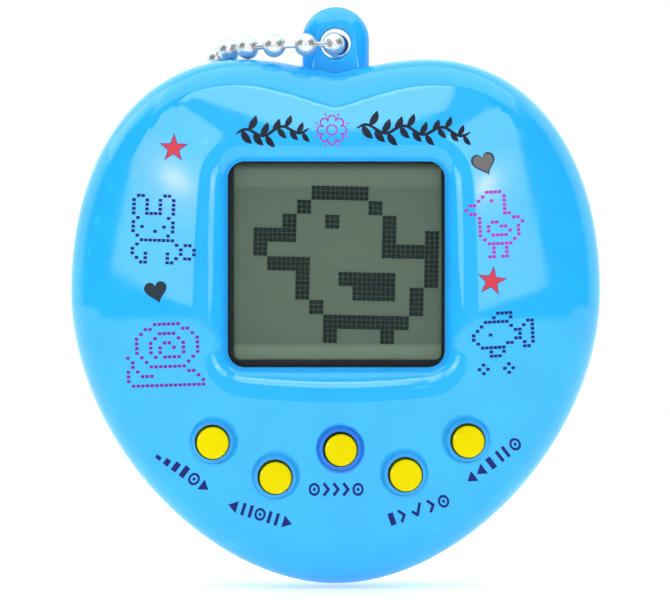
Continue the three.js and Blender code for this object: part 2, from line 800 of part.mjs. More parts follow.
function buzzerParts() {
  const [x, z] = BUZZER.at;
  const [front, back] = BUZZER.plate;
  const ceramicFront = front - TOUCH_GAP - BUZZER.ceramicThick;
  const soldered = ceramicFront - TOUCH_GAP - WIRE_RADIUS;
  const board = LAYERS.board[1] + WIRE_END_GAP;
  const route = ([start, ...rest]) => [
    [x + start[0], soldered, z + start[1]],
    ...rest.map(([dx, y, dz]) => [x + dx, y ?? board, z + dz]),
  ];
  return [
    meshOf('buzzer_disc', bar(BUZZER.at, BUZZER.radius, front, back, 32), MATERIALS.brass),
    meshOf('buzzer_ceramic', bar(BUZZER.at, BUZZER.ceramic, ceramicFront, front - TOUCH_GAP, 28),
      MATERIALS.paleCeramic),
    meshOf('buzzer_wire_red', wire(route(BUZZER_WIRES.red)), MATERIALS.redWire),
    meshOf('buzzer_wire_black', wire(route(BUZZER_WIRES.black)), MATERIALS.blackWire),
  ];
}

// ---- Ball chain -------------------------------------------------------------------------

function ballChain() {
  const section = new THREE.Shape();
  section.absarc(0, 0, CHAIN_RADIUS, 0, 2 * Math.PI);
  const route = CHAIN_ROUTE.map((point) => new THREE.Vector3(...point));
  return solid(new THREE.ExtrudeGeometry(section, {
    steps: CHAIN_STEPS,
    curveSegments: 4,
    extrudePath: new THREE.CatmullRomCurve3(route, false, 'centripetal'),
  }));
}

function coupling() {
  const { x, y, low, high, radius, lip } = COUPLING;
  const profile = [
    [0, low],
    [radius - lip, low],
    [radius, low + lip],
    [radius, high - lip],
    [radius - lip, high],
    [0, high],
  ].map(([r, z]) => new THREE.Vector2(r, z));
  const geometry = new THREE.LatheGeometry(profile, 20);
  geometry.rotateX(Math.PI / 2);
  geometry.translate(x, y, 0);
  return solid(geometry);
}

// ---- Assembly ---------------------------------------------------------------------------

const group = new THREE.Group();
group.name = 'virtual_pet_keychain';
group.add(
  meshOf('front_shell', frontShell(), MATERIALS.blueShell),
  meshOf('back_shell', backShell(), MATERIALS.blueShell),
  ...screenParts(),
  ...buttonParts(),
  ...boardParts(),
  ...batteryParts(),
  ...screwParts(),
  ...buzzerParts(),
  meshOf('ball_chain', ballChain(), MATERIALS.nickel),
  meshOf('chain_coupling', coupling(), MATERIALS.nickel),
);

export default group;
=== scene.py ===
import math

import bmesh
import bpy
import numpy as np
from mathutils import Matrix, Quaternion, Vector
from mathutils.geometry import delaunay_2d_cdt


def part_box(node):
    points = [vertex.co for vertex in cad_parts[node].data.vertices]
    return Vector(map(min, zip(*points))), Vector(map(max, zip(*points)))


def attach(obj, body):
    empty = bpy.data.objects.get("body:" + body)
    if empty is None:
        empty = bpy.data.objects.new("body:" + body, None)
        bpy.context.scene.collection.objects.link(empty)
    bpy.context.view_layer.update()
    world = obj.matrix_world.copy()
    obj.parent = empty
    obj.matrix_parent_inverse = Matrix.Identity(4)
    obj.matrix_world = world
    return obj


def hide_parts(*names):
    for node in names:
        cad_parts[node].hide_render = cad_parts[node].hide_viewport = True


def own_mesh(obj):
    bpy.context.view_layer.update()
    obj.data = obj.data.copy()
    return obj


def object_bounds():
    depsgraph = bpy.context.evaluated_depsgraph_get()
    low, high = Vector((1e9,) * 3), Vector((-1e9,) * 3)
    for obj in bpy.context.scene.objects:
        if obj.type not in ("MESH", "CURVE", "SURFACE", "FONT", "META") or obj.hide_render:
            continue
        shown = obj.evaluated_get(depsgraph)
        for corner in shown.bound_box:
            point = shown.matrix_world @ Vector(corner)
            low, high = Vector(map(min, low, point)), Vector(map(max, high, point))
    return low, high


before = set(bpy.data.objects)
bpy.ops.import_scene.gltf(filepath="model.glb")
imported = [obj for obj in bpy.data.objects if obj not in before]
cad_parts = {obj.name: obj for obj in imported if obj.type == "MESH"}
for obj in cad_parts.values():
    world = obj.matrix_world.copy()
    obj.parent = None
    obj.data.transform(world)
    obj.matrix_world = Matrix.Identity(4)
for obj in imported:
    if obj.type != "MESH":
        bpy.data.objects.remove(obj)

# Shapes are worked out in millimetres and turned into metres when a mesh is made.
MM = 0.001
CAD_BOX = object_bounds()

# ---- Camera ----

CAMERA_DISTANCE = 0.375
CAMERA_AT = (-0.00007, -CAMERA_DISTANCE, -0.0267)
SENSOR_WIDTH = 36
VIEW_WIDTH = 0.06995
CLIP_RANGE = (0.01, 50)


def make_camera():
    data = bpy.data.cameras.new("camera")
    data.sensor_width = SENSOR_WIDTH
    data.lens = SENSOR_WIDTH * CAMERA_DISTANCE / VIEW_WIDTH
    data.clip_start, data.clip_end = CLIP_RANGE
    camera = bpy.data.objects.new("camera", data)
    camera.location = CAMERA_AT
    camera.rotation_euler = (math.pi / 2, 0, 0)
    bpy.context.scene.collection.objects.link(camera)
    bpy.context.scene.camera = camera


make_camera()

# ---- Materials ----

# Spans of a noise, wave or pointiness over which a blend goes from none to full.
DRIFT_SPAN = (0.3, 0.7)
EDGE_SPAN = (0.52, 0.6)
RUBBED_SPAN = (0.42, 0.62)
TARNISH_SPAN = (0.55, 0.75)
TRACK_SPAN = (0.62, 0.68)
# Heights on the display, in metres, over which its shade changes.
# The first pair is where a painted shadow of the frame darkens the glass's top edge.
LCD_FRAME_SHADOW = (-0.0134, -0.0128)
LCD_ABOVE_PICTURE = (-0.0152, -0.0147)
LCD_BELOW_PICTURE = (-0.0316, -0.0311)


def linear(red, green, blue):
    """Scene-linear colour from 8-bit display values."""
    def channel(value):
        value /= 255
        return value / 12.92 if value <= 0.04045 else ((value + 0.055) / 1.055) ** 2.4
    return channel(red), channel(green), channel(blue), 1.0


def scaled(colour, factor):
    return tuple(min(1.0, c * factor) for c in colour[:3]) + (1.0,)


class Material:
    """A principled material whose colour, roughness and bump vary over the surface."""

    def __init__(self, name, roughness, **sockets):
        self.data = bpy.data.materials.new(name)
        self.data.use_nodes = True
        self.tree = self.data.node_tree
        self.shader = self.tree.nodes["Principled BSDF"]
        self.coords = self.node("ShaderNodeTexCoord").outputs["Object"]
        self.roughness = roughness
        for socket, value in sockets.items():
            self.shader.inputs[socket.replace("_", " ")].default_value = value

    def node(self, kind, **settings):
        node = self.tree.nodes.new(kind)
        for key, value in settings.items():
            if key in node.inputs:
                node.inputs[key].default_value = value
            else:
                setattr(node, key, value)
        return node

    def link(self, output, socket):
        self.tree.links.new(output, socket)

    def noise(self, size_mm, detail=3, roughness=0.5):
        """Noise whose features are about size_mm across."""
        node = self.node("ShaderNodeTexNoise", Scale=1 / (size_mm * MM), Detail=detail,
                         Roughness=roughness)
        self.link(self.coords, node.inputs["Vector"])
        return node.outputs["Fac"]

    def ranged(self, value, low, high, to_low, to_high):
        node = self.node("ShaderNodeMapRange", clamp=True)
        for socket, number in zip(("From Min", "From Max", "To Min", "To Max"),
                                  (low, high, to_low, to_high)):
            node.inputs[socket].default_value = number
        self.link(value, node.inputs["Value"])
        return node.outputs["Result"]

    def mixed(self, factor, first, second):
        node = self.node("ShaderNodeMix", data_type="RGBA")
        for socket, value in ((node.inputs[6], first), (node.inputs[7], second)):
            if isinstance(value, tuple):
                socket.default_value = value
            else:
                self.link(value, socket)
        self.link(factor, node.inputs[0])
        return node.outputs[2]

    def colour(self, output):
        self.link(output, self.shader.inputs["Base Color"])
        return self

    def mottle(self, colour, spread=0.04, size_mm=6.0):
        """Base colour that drifts a little lighter and darker over the surface."""
        drift = self.ranged(self.noise(size_mm), *DRIFT_SPAN, 0, 1)
        return self.mixed(drift, scaled(colour, 1 - spread), scaled(colour, 1 + spread))

    def gloss(self, spread=0.02, size_mm=2.0):
        drift = self.ranged(self.noise(size_mm, 4), *DRIFT_SPAN,
                            self.roughness - spread, self.roughness + spread)
        self.link(drift, self.shader.inputs["Roughness"])
        return self

    def bump(self, height, depth_mm):
        node = self.node("ShaderNodeBump", Strength=1, Distance=depth_mm * MM)
        self.link(height, node.inputs["Height"])
        self.link(node.outputs["Normal"], self.shader.inputs["Normal"])
        return self

    def edge(self):
        """1 along worn outer edges, broken up by noise, and 0 on flats and hollows."""
        geometry = self.node("ShaderNodeNewGeometry")
        sharp = self.ranged(geometry.outputs["Pointiness"], *EDGE_SPAN, 0, 1)
        patchy = self.ranged(self.noise(1.2, 5, 0.7), *RUBBED_SPAN, 0, 1)
        product = self.node("ShaderNodeMath", operation="MULTIPLY")
        self.link(sharp, product.inputs[0])
        self.link(patchy, product.inputs[1])
        return product.outputs[0]


def plastic(name, colour, roughness, worn=None, grain_mm=0.25, grain_depth=0.002, **sockets):
    """Moulded plastic: slight colour drift, fine grain and edges rubbed lighter."""
    made = Material(name, roughness, **sockets)
    body = made.mottle(colour)
    if worn:
        body = made.mixed(made.edge(), body, worn)
    return made.colour(body).gloss().bump(made.noise(grain_mm, 4), grain_depth).data


def metal(name, colour, roughness, metallic=1.0):
    """Metal with fine scratches and dulled patches."""
    made = Material(name, roughness, Metallic=metallic)
    tarnish = made.ranged(made.noise(1.5, 5, 0.65), *TARNISH_SPAN, 0, 1)
    body = made.mixed(tarnish, made.mottle(colour, 0.05, 3.0), scaled(colour, 0.72))
    return made.colour(body).gloss(0.05, 0.6).bump(made.noise(0.08, 6, 0.7), 0.001).data


def lcd_glass():
    """Grey-green display glass: lighter above and below its picture, with a painted shadow of the
    frame along its top.
    """
    made = Material("lcd_glass", 0.3, Specular_IOR_Level=0.15)
    split = made.node("ShaderNodeSeparateXYZ")
    made.link(made.coords, split.inputs[0])
    height = split.outputs["Z"]
    above = made.ranged(height, *LCD_ABOVE_PICTURE, 0, 0.5)
    below = made.ranged(height, *LCD_BELOW_PICTURE, 1, 0)
    bands = made.node("ShaderNodeMath", operation="ADD")
    made.link(above, bands.inputs[0])
    made.link(below, bands.inputs[1])
    # Painted shadow of the frame: the glass turns a deeper grey-green along its top, the darker
    # colour in the return below.
    top = made.ranged(height, *LCD_FRAME_SHADOW, 0, 1)
    field = made.mixed(bands.outputs[0], made.mottle(linear(108, 121, 102), 0.03, 5.0),
                       linear(140, 153, 127))
    return made.colour(made.mixed(top, field, linear(80, 88, 71))).gloss().bump(
        made.noise(0.4, 3), 0.0006).data


def circuit_green():
    """Solder mask over faint copper tracks."""
    made = Material("solder_mask", 0.35)
    wave = made.node("ShaderNodeTexWave", Scale=260, Distortion=6, Detail=1)
    made.link(made.coords, wave.inputs["Vector"])
    tracks = made.ranged(wave.outputs["Fac"], *TRACK_SPAN, 0, 1)
    body = made.mixed(tracks, made.mottle(linear(24, 92, 52)), linear(38, 122, 66))
    return made.colour(body).gloss(0.04).bump(tracks, 0.02).data


BLUE = (0.023, 0.417, 0.955, 1.0)
BLUE_WORN = (0.035, 0.50, 0.97, 1.0)

MATERIALS = {
    "blue": plastic("blue_abs", BLUE, 0.06, BLUE_WORN, 0.5, 0.0012),
    "yellow": plastic("yellow_cap_plastic", linear(238, 209, 0), 0.42, linear(250, 238, 90),
                      Specular_IOR_Level=0.03),
    "black_foam": plastic("black_foam", linear(14, 16, 19), 0.85, None, 0.15, 0.03),
    "white_plastic": plastic("white_plastic", linear(228, 228, 220), 0.45),
    "dark_rubber": plastic("dark_rubber", linear(38, 38, 40), 0.8, None, 0.2, 0.01),
    "silicone": plastic("clear_silicone", linear(205, 208, 204), 0.55),
    "black_epoxy": plastic("black_epoxy", linear(14, 14, 15), 0.3, None, 0.8, 0.02),
    "ceramic": plastic("pale_ceramic", linear(232, 226, 208), 0.6, None, 0.15, 0.01),
    "red_wire": plastic("red_wire", linear(186, 24, 24), 0.45),
    "black_wire": plastic("black_wire", linear(20, 20, 21), 0.45),
    "nickel": metal("nickel_plate", (0.74, 0.69, 0.69, 1.0), 0.31, metallic=0.76),
    "steel": metal("zinc_steel", (0.56, 0.57, 0.58, 1.0), 0.28),
    "brass": metal("brass_sheet", (0.72, 0.50, 0.19, 1.0), 0.3),
    # Painted shade for the dishes round the buttons: deeper blues standing in for their shadow,
    # the deepest round the middle button.
    "blue_dish_shade": plastic("blue_dish_shade", (0.020, 0.37, 0.94, 1.0), 0.12, None, 0.5, 0.0012),
    "blue_dish_deep_shade": plastic("blue_dish_deep_shade", (0.008, 0.20, 0.84, 1.0), 0.12, None, 0.5, 0.0012),
    "lens": plastic("clear_window", linear(60, 66, 66), 0.04, None, 1.0, 0.0004, Alpha=0.1),
    "lcd_glass": lcd_glass(),
    "lcd_dark": plastic("lcd_segment", linear(24, 36, 33), 0.4, None, 0.2, 0.001,
                        Specular_IOR_Level=0.1),
    "board": circuit_green(),
}
INKS = {
    "ink_dark": (20, 24, 42), "ink_navy": (16, 26, 104), "ink_violet": (122, 28, 140),
    "ink_magenta": (172, 52, 168), "ink_purple": (112, 62, 130), "ink_red": (212, 58, 74),
    "ink_slate": (34, 46, 58), "ink_grey": (112, 104, 104),
}
for ink_name, ink_shade in INKS.items():
    MATERIALS[ink_name] = plastic(ink_name, linear(*ink_shade), 0.35, None, 0.2, 0.002,
                                  Specular_IOR_Level=0.2)

# ---- Mesh helpers ----


def add_mesh(name, points, faces, material=None, smooth=30):
    """A mesh object from points in millimetres, smooth but for edges sharper than smooth."""
    mesh = bpy.data.meshes.new(name)
    mesh.from_pydata([tuple(float(c) * MM for c in p) for p in points], [], faces)
    obj = bpy.data.objects.new(name, mesh)
    bpy.context.scene.collection.objects.link(obj)
    tidy_mesh(obj, smooth)
    if material:
        mesh.materials.append(MATERIALS[material])
    return obj


def tidy_mesh(obj, smooth):
    """Welds doubled points, turns all faces outwards and smooths all but the sharp edges."""
    bm = bmesh.new()
    bm.from_mesh(obj.data)
    bmesh.ops.remove_doubles(bm, verts=bm.verts, dist=1e-6)
    bmesh.ops.recalc_face_normals(bm, faces=bm.faces)
    bm.to_mesh(obj.data)
    bm.free()
    obj.data.shade_smooth()
    obj.data.set_sharp_from_angle(angle=math.radians(smooth))


def lofted(rings, capped=True):
    """Points and faces through rings of (x, y, z) points, capped at the first and the last."""
    count = len(rings[0])
    last = (len(rings) - 1) * count
    faces = []
    for low in range(0, last, count):
        high = low + count
        for i in range(count):
            j = (i + 1) % count
            faces.append((low + i, low + j, high + j, high + i))
    if capped:
        faces += [tuple(range(count)), tuple(range(last, last + count))]
    return [tuple(p) for ring in rings for p in ring], faces


def looped(rings):
    """Points and faces from rings whose last one joins the first."""
    points, faces = lofted(rings, capped=False)
    count = len(rings[0])
    last = len(points) - count
    faces += [(i, last + i, last + (i + 1) % count, (i + 1) % count) for i in range(count)]
    return points, faces


SQUARE = ((-1, -1), (1, -1), (1, 1), (-1, 1))


def full_turn(count):
    """Angles of count even steps round a circle."""
    return np.arange(count) * 2 * math.pi / count


def directions(angles):
    """Unit (u, v) vectors at angles."""
    return np.stack([np.cos(angles), np.sin(angles)], axis=1)


def rotated(points, degrees):
    """(u, v) points turned about (0, 0)."""
    u, v = np.asarray(points, float).T
    cos, sin = math.cos(math.radians(degrees)), math.sin(math.radians(degrees))
    return np.stack([u * cos - v * sin, u * sin + v * cos], axis=1)


def turned(centre, profile, segments):
    """Points and faces of a profile of (radius, y), turned about an axis along Y at (x, z)."""
    cx, cz = centre
    rings = [[(cx + r * math.cos(a), y, cz + r * math.sin(a)) for a in full_turn(segments)]
             for r, y in profile]
    return lofted(rings)


def combined(parts):
    """One list of points and faces from several."""
    points, faces = [], []
    for more_points, more_faces in parts:
        start = len(points)
        points.extend(more_points)
        faces.extend(tuple(start + i for i in face) for face in more_faces)
    return points, faces


def boolean(obj, tool, operation):
    """Cuts tool from obj or adds it, and deletes tool."""
    modifier = obj.modifiers.new(operation, "BOOLEAN")
    modifier.operation = operation
    modifier.solver = "MANIFOLD"
    modifier.object = tool
    graph = bpy.context.evaluated_depsgraph_get()
    mesh = bpy.data.meshes.new_from_object(obj.evaluated_get(graph))
    mesh.name = obj.name
    obj.modifiers.clear()
    obj.data = mesh
    bpy.data.objects.remove(tool)


def cut(obj, shape):
    boolean(obj, add_mesh("tool", *shape), "DIFFERENCE")


def fuse(obj, shape):
    boolean(obj, add_mesh("tool", *shape), "UNION")


def finish_mesh(obj, material, smooth=30):
    obj.data.materials.clear()
    obj.data.materials.append(MATERIALS[material])
    obj.data.polygons.foreach_set("material_index", [0] * len(obj.data.polygons))
    tidy_mesh(obj, smooth)


def place(obj, body, slot, *nodes, even=False):
    """Puts a piece on its body in place of CAD nodes; its slot argument is not used."""
    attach(obj, body)
    if nodes:
        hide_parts(*nodes)
    if even:
        modifier = obj.modifiers.new("even_normals", "WEIGHTED_NORMAL")
        modifier.keep_sharp = True
    return obj


def arc(centre, radius, start, end, steps):
    """Points (u, v) on an arc, its angles in degrees."""
    angles = np.radians(np.linspace(start, end, steps + 1))
    return [(centre[0] + radius * math.cos(a), centre[1] + radius * math.sin(a)) for a in angles]


# ---- Ball chain and its coupling ----

CHAIN_ROUTE = [
    (-2.2, 9.95, -13.5), (-2.1, 9.9, -10.2), (-1.6, 9.3, -6.6), (-0.8, 8, -3.2), (0.1, 5.9, -0.9),
    (0.4, 3.6, -0.15), (0.2, 1.4, 0), (0, 0, 0), (-0.2, -1.95, -0.1), (-1.65, -2.95, -0.2),
    (-3.2, -3.3, -0.3), (-6.4, -2.95, -0.37), (-9.25, -1.1, -0.44), (-11.2, 1.5, -0.55),
    (-12.45, 4.4, -1.3), (-13, 7.3, -3), (-13.1, 9.4, -6.1), (-13, 9.95, -10.5), (-13, 9.95, -18),
    (-13, 9.95, -26), (-12.8, 9.95, -33.5), (-11.6, 9.95, -37.2), (-9.4, 9.95, -39.4),
    (-7.6, 9.95, -39.9), (-5.8, 9.95, -39.4), (-3.6, 9.95, -37.2), (-2.4, 9.95, -33.5),
    (-2.2, 9.95, -28), (-2.2, 9.95, -22.5),
]
# Which point of the route lies at the bead in front of the tab.
FRONT_BEAD_POINT = 8
ROUTE_STEPS = 40
BEAD_RADIUS = 1.2
BEAD_MOUTH = 0.5
BEAD_PITCH = 3.3
BEAD_DIMPLE = ((0.25, 0.3), (0.06, 0.4))  # (depth, radius) of its floor and its wall
BEAD_RINGS = 17
BEAD_SEGMENTS = 28
END_ROOM = (0.4, 0.2)  # least distance from the route's ends to the first and last bead
LOOK_AHEAD = 0.5  # how far along the route a bead's direction is taken
LINK_RADIUS = 0.34
LINK_WAIST = 0.88
LINK_SUNK = 0.4
LINK_FLARE = 0.5
COUPLING = {"radius": 1.45, "wall": 0.22, "slot": 0.55, "edge": 0.05}
COUPLING_STATIONS = (  # (share of its length, share of its radius)
    (0.0, 0.78), (0.05, 0.86), (0.12, 0.93), (0.2, 1.0), (0.35, 1.0), (0.5, 1.0), (0.65, 1.0),
    (0.8, 1.0), (0.88, 0.93), (0.95, 0.86), (1.0, 0.78),
)


def with_ends(points):
    """Points with one more at each end, straight on from the last two."""
    return np.concatenate([[2 * points[0] - points[1]], points, [2 * points[-1] - points[-2]]])


def chain_line():
    """The route as a smooth line: a centripetal Catmull-Rom curve through its points."""
    route = np.array(CHAIN_ROUTE, float)
    padded = with_ends(route)
    line = []
    for i in range(len(route) - 1):
        p0, p1, p2, p3 = padded[i:i + 4]
        d0, d1, d2 = (np.linalg.norm(b - a) ** 0.5 for a, b in ((p0, p1), (p1, p2), (p2, p3)))
        t1 = ((p1 - p0) / d0 - (p2 - p0) / (d0 + d1) + (p2 - p1) / d1) * d1
        t2 = ((p2 - p1) / d1 - (p3 - p1) / (d1 + d2) + (p3 - p2) / d2) * d1
        for w in np.arange(ROUTE_STEPS) / ROUTE_STEPS:
            line.append(p1 + t1 * w + (3 * (p2 - p1) - 2 * t1 - t2) * w ** 2
                        + (2 * (p1 - p2) + t1 + t2) * w ** 3)
    line.append(route[-1])
    return np.array(line)


def along(line, distances, at):
    return np.array([np.interp(at, distances, line[:, k]) for k in range(3)])


def frame_of(direction):
    side = np.cross(direction, (0, 0, 1) if abs(direction[2]) < 0.9 else (1, 0, 0))
    side /= np.linalg.norm(side)
    return side, np.cross(direction, side)


def revolved(start, direction, profile, segments):
    """Points and faces of a (distance along, radius) profile turned about a line in space."""
    side, up = frame_of(direction)
    rings = [[start + direction * t + r * (side * math.cos(a) + up * math.sin(a))
              for a in full_turn(segments)] for t, r in profile]
    return lofted(rings)


def bead_shape(middle, direction):
    """A hollow rolled ball: a sphere with a dimpled mouth at each pole."""
    mouth = math.degrees(math.asin(BEAD_MOUTH / BEAD_RADIUS))
    outside = [(-BEAD_RADIUS * math.cos(math.radians(a)), BEAD_RADIUS * math.sin(math.radians(a)))
               for a in np.linspace(mouth, 180 - mouth, BEAD_RINGS)]
    pole = outside[0][0]
    dimple = [(pole + depth, radius) for depth, radius in BEAD_DIMPLE]
    far_dimple = [(-t, radius) for t, radius in dimple[::-1]]
    return revolved(middle, direction, [*dimple, *outside, *far_dimple], BEAD_SEGMENTS)


def link_shape(start, end):
    """A thin pin between two balls."""
    span = np.linalg.norm(end - start)
    direction = (end - start) / span
    low, high = BEAD_RADIUS - LINK_SUNK, span - BEAD_RADIUS + LINK_SUNK
    waist = LINK_RADIUS * LINK_WAIST
    profile = [(low, 0.1), (low, LINK_RADIUS), (low + LINK_FLARE, waist),
               ((low + high) / 2, waist), (high - LINK_FLARE, waist), (high, LINK_RADIUS),
               (high, 0.1)]
    return revolved(start, direction, profile, 14)


def make_chain():
    line = chain_line()
    steps = np.linalg.norm(np.diff(line, axis=0), axis=1)
    distances = np.concatenate([[0], np.cumsum(steps)])
    length = distances[-1]
    front_bead = distances[FRONT_BEAD_POINT * ROUTE_STEPS]
    first = front_bead - BEAD_PITCH * math.floor((front_bead - END_ROOM[0]) / BEAD_PITCH)
    at = np.arange(first, length - END_ROOM[1], BEAD_PITCH)
    beads = [along(line, distances, d) for d in at]
    parts = []
    for i, middle in enumerate(beads):
        ahead = along(line, distances, min(at[i] + LOOK_AHEAD, length))
        behind = along(line, distances, max(at[i] - LOOK_AHEAD, 0))
        direction = (ahead - behind) / np.linalg.norm(ahead - behind)
        parts.append(bead_shape(middle, direction))
    parts.extend(link_shape(a, b) for a, b in zip(beads, beads[1:]))
    chain = add_mesh("ball_chain_beads", *combined(parts), "nickel", 40)
    coupling = make_coupling()
    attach(chain, "case")
    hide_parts("ball_chain")


def make_coupling():
    """A strip of sheet rolled into a tube, open along one side and drawn in at its ends."""
    low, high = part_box("chain_coupling")
    centre = (low + high) / 2 / MM
    ends = low.z / MM, high.z / MM
    radius, wall = COUPLING["radius"], COUPLING["wall"]
    half_slot = 2 * math.asin(COUPLING["slot"] / 2 / radius)
    angles = np.linspace(math.pi / 2 + half_slot, math.pi * 5 / 2 - half_slot, 40)
    rings = []
    for share, size in COUPLING_STATIONS:
        z = ends[0] + (ends[1] - ends[0]) * share
        rings.append([
            (centre.x + r * math.cos(a), centre.y + r * math.sin(a), z)
            for r, way in ((radius * size, angles), (radius * size - wall, angles[::-1]))
            for a in way
        ])
    obj = add_mesh("chain_coupling_sleeve", *lofted(rings), "nickel", 35)
    bevel = obj.modifiers.new("rolled_edges", "BEVEL")
    bevel.width = COUPLING["edge"] * MM
    bevel.segments = 2
    bevel.limit_method = "ANGLE"
    return place(obj, "case", "nickel_chain", "chain_coupling")


make_chain()

# ---- Heart outlines and the front surface ----

OUTER_HEART = {
    "tip": (0, -56.15), "wide": (27.5, -25.7), "peak": (9.6, -1.68), "notch": (0, -3.1),
    "reach": (13.25, 15.54, 13.98, 10.85, 3.4, 3.2), "slope": 0.2,
}
SHOULDER_HEART = {
    "tip": (0, -52.2), "wide": (24.05, -25.9), "peak": (10.0, -4.7), "notch": (0, -7.0),
    "reach": (11.6, 13.6, 12.9, 9.7, 3.6, 3.4), "slope": 0.32,
}
CENTRE = np.array((0.0, -26.0))
CURVE_STEPS = (64, 64, 26)
COARSE_STEPS = (20, 20, 8)
SHOULDER_DEPTH = 6.05
CROWN_RISE = 2.65
NOTCH_BLUR = 12  # degrees
NOTCH_SPREAD = math.radians(30)
WINDOW = (-11.07, -33.6, 11.2, -12.46)
WINDOW_CORNER = 1.7
WINDOW_FRONT = 6.3
BEVEL_BLEND = 2.2
BEVEL_SLOPE = 0.8
LIP_SLOPE = 2.4
LIP_RISE = 0.85
LIP_BLEND = 0.5
BUTTONS = {
    "status": (-12.66, -41.29), "select": (-6.22, -44.87), "reset": (0.48, -41.99),
    "decide": (7.14, -44.61), "cancel": (13.56, -41.16),
}
BUTTON_HOLE = 1.8
DISH_FLOOR = 2.15
DISH_RADIUS = 2.5
DISH_DEPTH = 0.45
DISH_BLEND = 0.1


def bezier(p0, p1, p2, p3, shares):
    t = np.asarray(shares)[:, None]
    p0, p1, p2, p3 = (np.array(p, float) for p in (p0, p1, p2, p3))
    return (p0 * (1 - t) ** 3 + 3 * p1 * t * (1 - t) ** 2 + 3 * p2 * t ** 2 * (1 - t)
            + p3 * t ** 3)


def heart(spec, steps=CURVE_STEPS):
    """Points round a heart, from its tip up the right side and down the left."""
    tip, wide, peak, notch = (np.array(spec[k], float) for k in ("tip", "wide", "peak", "notch"))
    at_tip, below, above, outer, inner, at_notch = spec["reach"]
    curves = (
        (tip, tip + (at_tip, 0), wide - (0, below), wide),
        (wide, wide + (0, above), peak + (outer, 0), peak),
        (peak, peak - (inner, 0), notch + (at_notch, at_notch * spec["slope"]), notch),
    )
    right = np.concatenate([bezier(*curve, np.arange(n) / n) for curve, n in zip(curves, steps)])
    left = right[1:][::-1] * (-1, 1)
    return np.concatenate([right, [notch], left])


OUTER = heart(OUTER_HEART)
SHOULDER = heart(SHOULDER_HEART)


def polar(points):
    away = points - CENTRE
    return np.arctan2(away[..., 1], away[..., 0]), np.hypot(away[..., 0], away[..., 1])


def radius_tables():
    """The shoulder's radius at each whole degree, as it is and blurred."""
    degrees = np.arange(360)
    angles, radii = polar(SHOULDER)
    raw = np.interp(np.radians(degrees), angles, radii, period=2 * math.pi)
    spread = np.minimum(degrees, 360 - degrees)
    kernel = np.exp(-0.5 * (spread / NOTCH_BLUR) ** 2)
    soft = np.real(np.fft.ifft(np.fft.fft(raw) * np.fft.fft(kernel / kernel.sum())))
    return np.radians(degrees), raw, soft


RADIUS_ANGLES, RADIUS_RAW, RADIUS_SOFT = radius_tables()


def dome_depth(points):
    """How far the plain dome stands forward of the seam, with its notch crease softened."""
    angle, radius = polar(points)
    period = 2 * math.pi
    raw = np.interp(angle, RADIUS_ANGLES, RADIUS_RAW, period=period)
    soft = np.interp(angle, RADIUS_ANGLES, RADIUS_SOFT, period=period)
    near_notch = np.exp(-((angle - math.pi / 2) / NOTCH_SPREAD) ** 2)
    share = radius / (raw + (soft - raw) * near_notch)
    return SHOULDER_DEPTH + CROWN_RISE * (1 - share ** 2)


def window_distance(points):
    """Distance outside the window's rounded rectangle, negative inside it."""
    left, bottom, right, top = WINDOW
    away = np.abs(points - ((left + right) / 2, (bottom + top) / 2))
    beyond = away - ((right - left) / 2 - WINDOW_CORNER, (top - bottom) / 2 - WINDOW_CORNER)
    outside = np.hypot(*np.moveaxis(np.maximum(beyond, 0), -1, 0))
    return outside + np.minimum(beyond.max(axis=-1), 0) - WINDOW_CORNER


def smooth_min(first, second, blend):
    overlap = np.maximum(blend - np.abs(first - second), 0) / blend
    return np.minimum(first, second) - overlap ** 2 * blend / 4


def front_depth(points):
    """How far the finished front stands forward of the seam at (x, z) points."""
    points = np.asarray(points, float)
    away = window_distance(points)
    bevel = WINDOW_FRONT + smooth_min(LIP_SLOPE * away, LIP_RISE + BEVEL_SLOPE * away, LIP_BLEND)
    depth = smooth_min(dome_depth(points), bevel, BEVEL_BLEND)
    for at in BUTTONS.values():
        away = np.hypot(*np.moveaxis(points - at, -1, 0))
        surface = dome_depth(np.array(at, float))
        slope = DISH_DEPTH / (DISH_RADIUS - DISH_FLOOR)
        cone = surface - DISH_DEPTH + np.maximum(away - DISH_FLOOR, 0) * slope
        depth = np.where(away < 2 * DISH_RADIUS, smooth_min(depth, cone, DISH_BLEND), depth)
    return depth


# ---- Shells ----

SEAM_GAP = 0.05
SEAM_GROOVE = 0.12
WALL = 1.6
WALL_SIDEWAYS = 1.8
RIM_STEPS = 26
FRONT_RIM = ((0, 1.5), (0, 3.4), (0.45, 5.6), (1, 6.05))
NOTCH_RIM = ((0, 1.5), (0, 3.4), (0.45, 5.3), (1, 6.05))
NOTCH_HALF_WIDTH = 7.0
BACK_RIM = ((0, 1.5), (0, 3.5), (1.8, 8.2), (5.2, 8.2))
BACK_DEPTH = 8.2
WINDOW_RINGS = np.concatenate([[0, 0.06], np.arange(0.15, 4.11, 0.12)])
BUTTON_RINGS = np.concatenate([[BUTTON_HOLE, BUTTON_HOLE + 0.03], np.arange(1.9, 3.31, 0.05)])
BUTTON_SEGMENTS = 72
WINDOW_POCKET = (2.3, 0.05)  # depth of its floor and of its wall's upper edge
BUTTON_POCKET_FLOOR = 4.0
BUTTON_MOUTH_STEP = 0.03
DOME_GRID = 0.62
GRID_CLEAR = 0.6
# The hollows start beyond the seam, follow part of the rim and then shrink towards the crown.
CAVITY_START = -2.6
CAVITY_RIM_START = 0.3
CAVITY_SHARES = (0.86, 0.7, 0.5, 0.25)


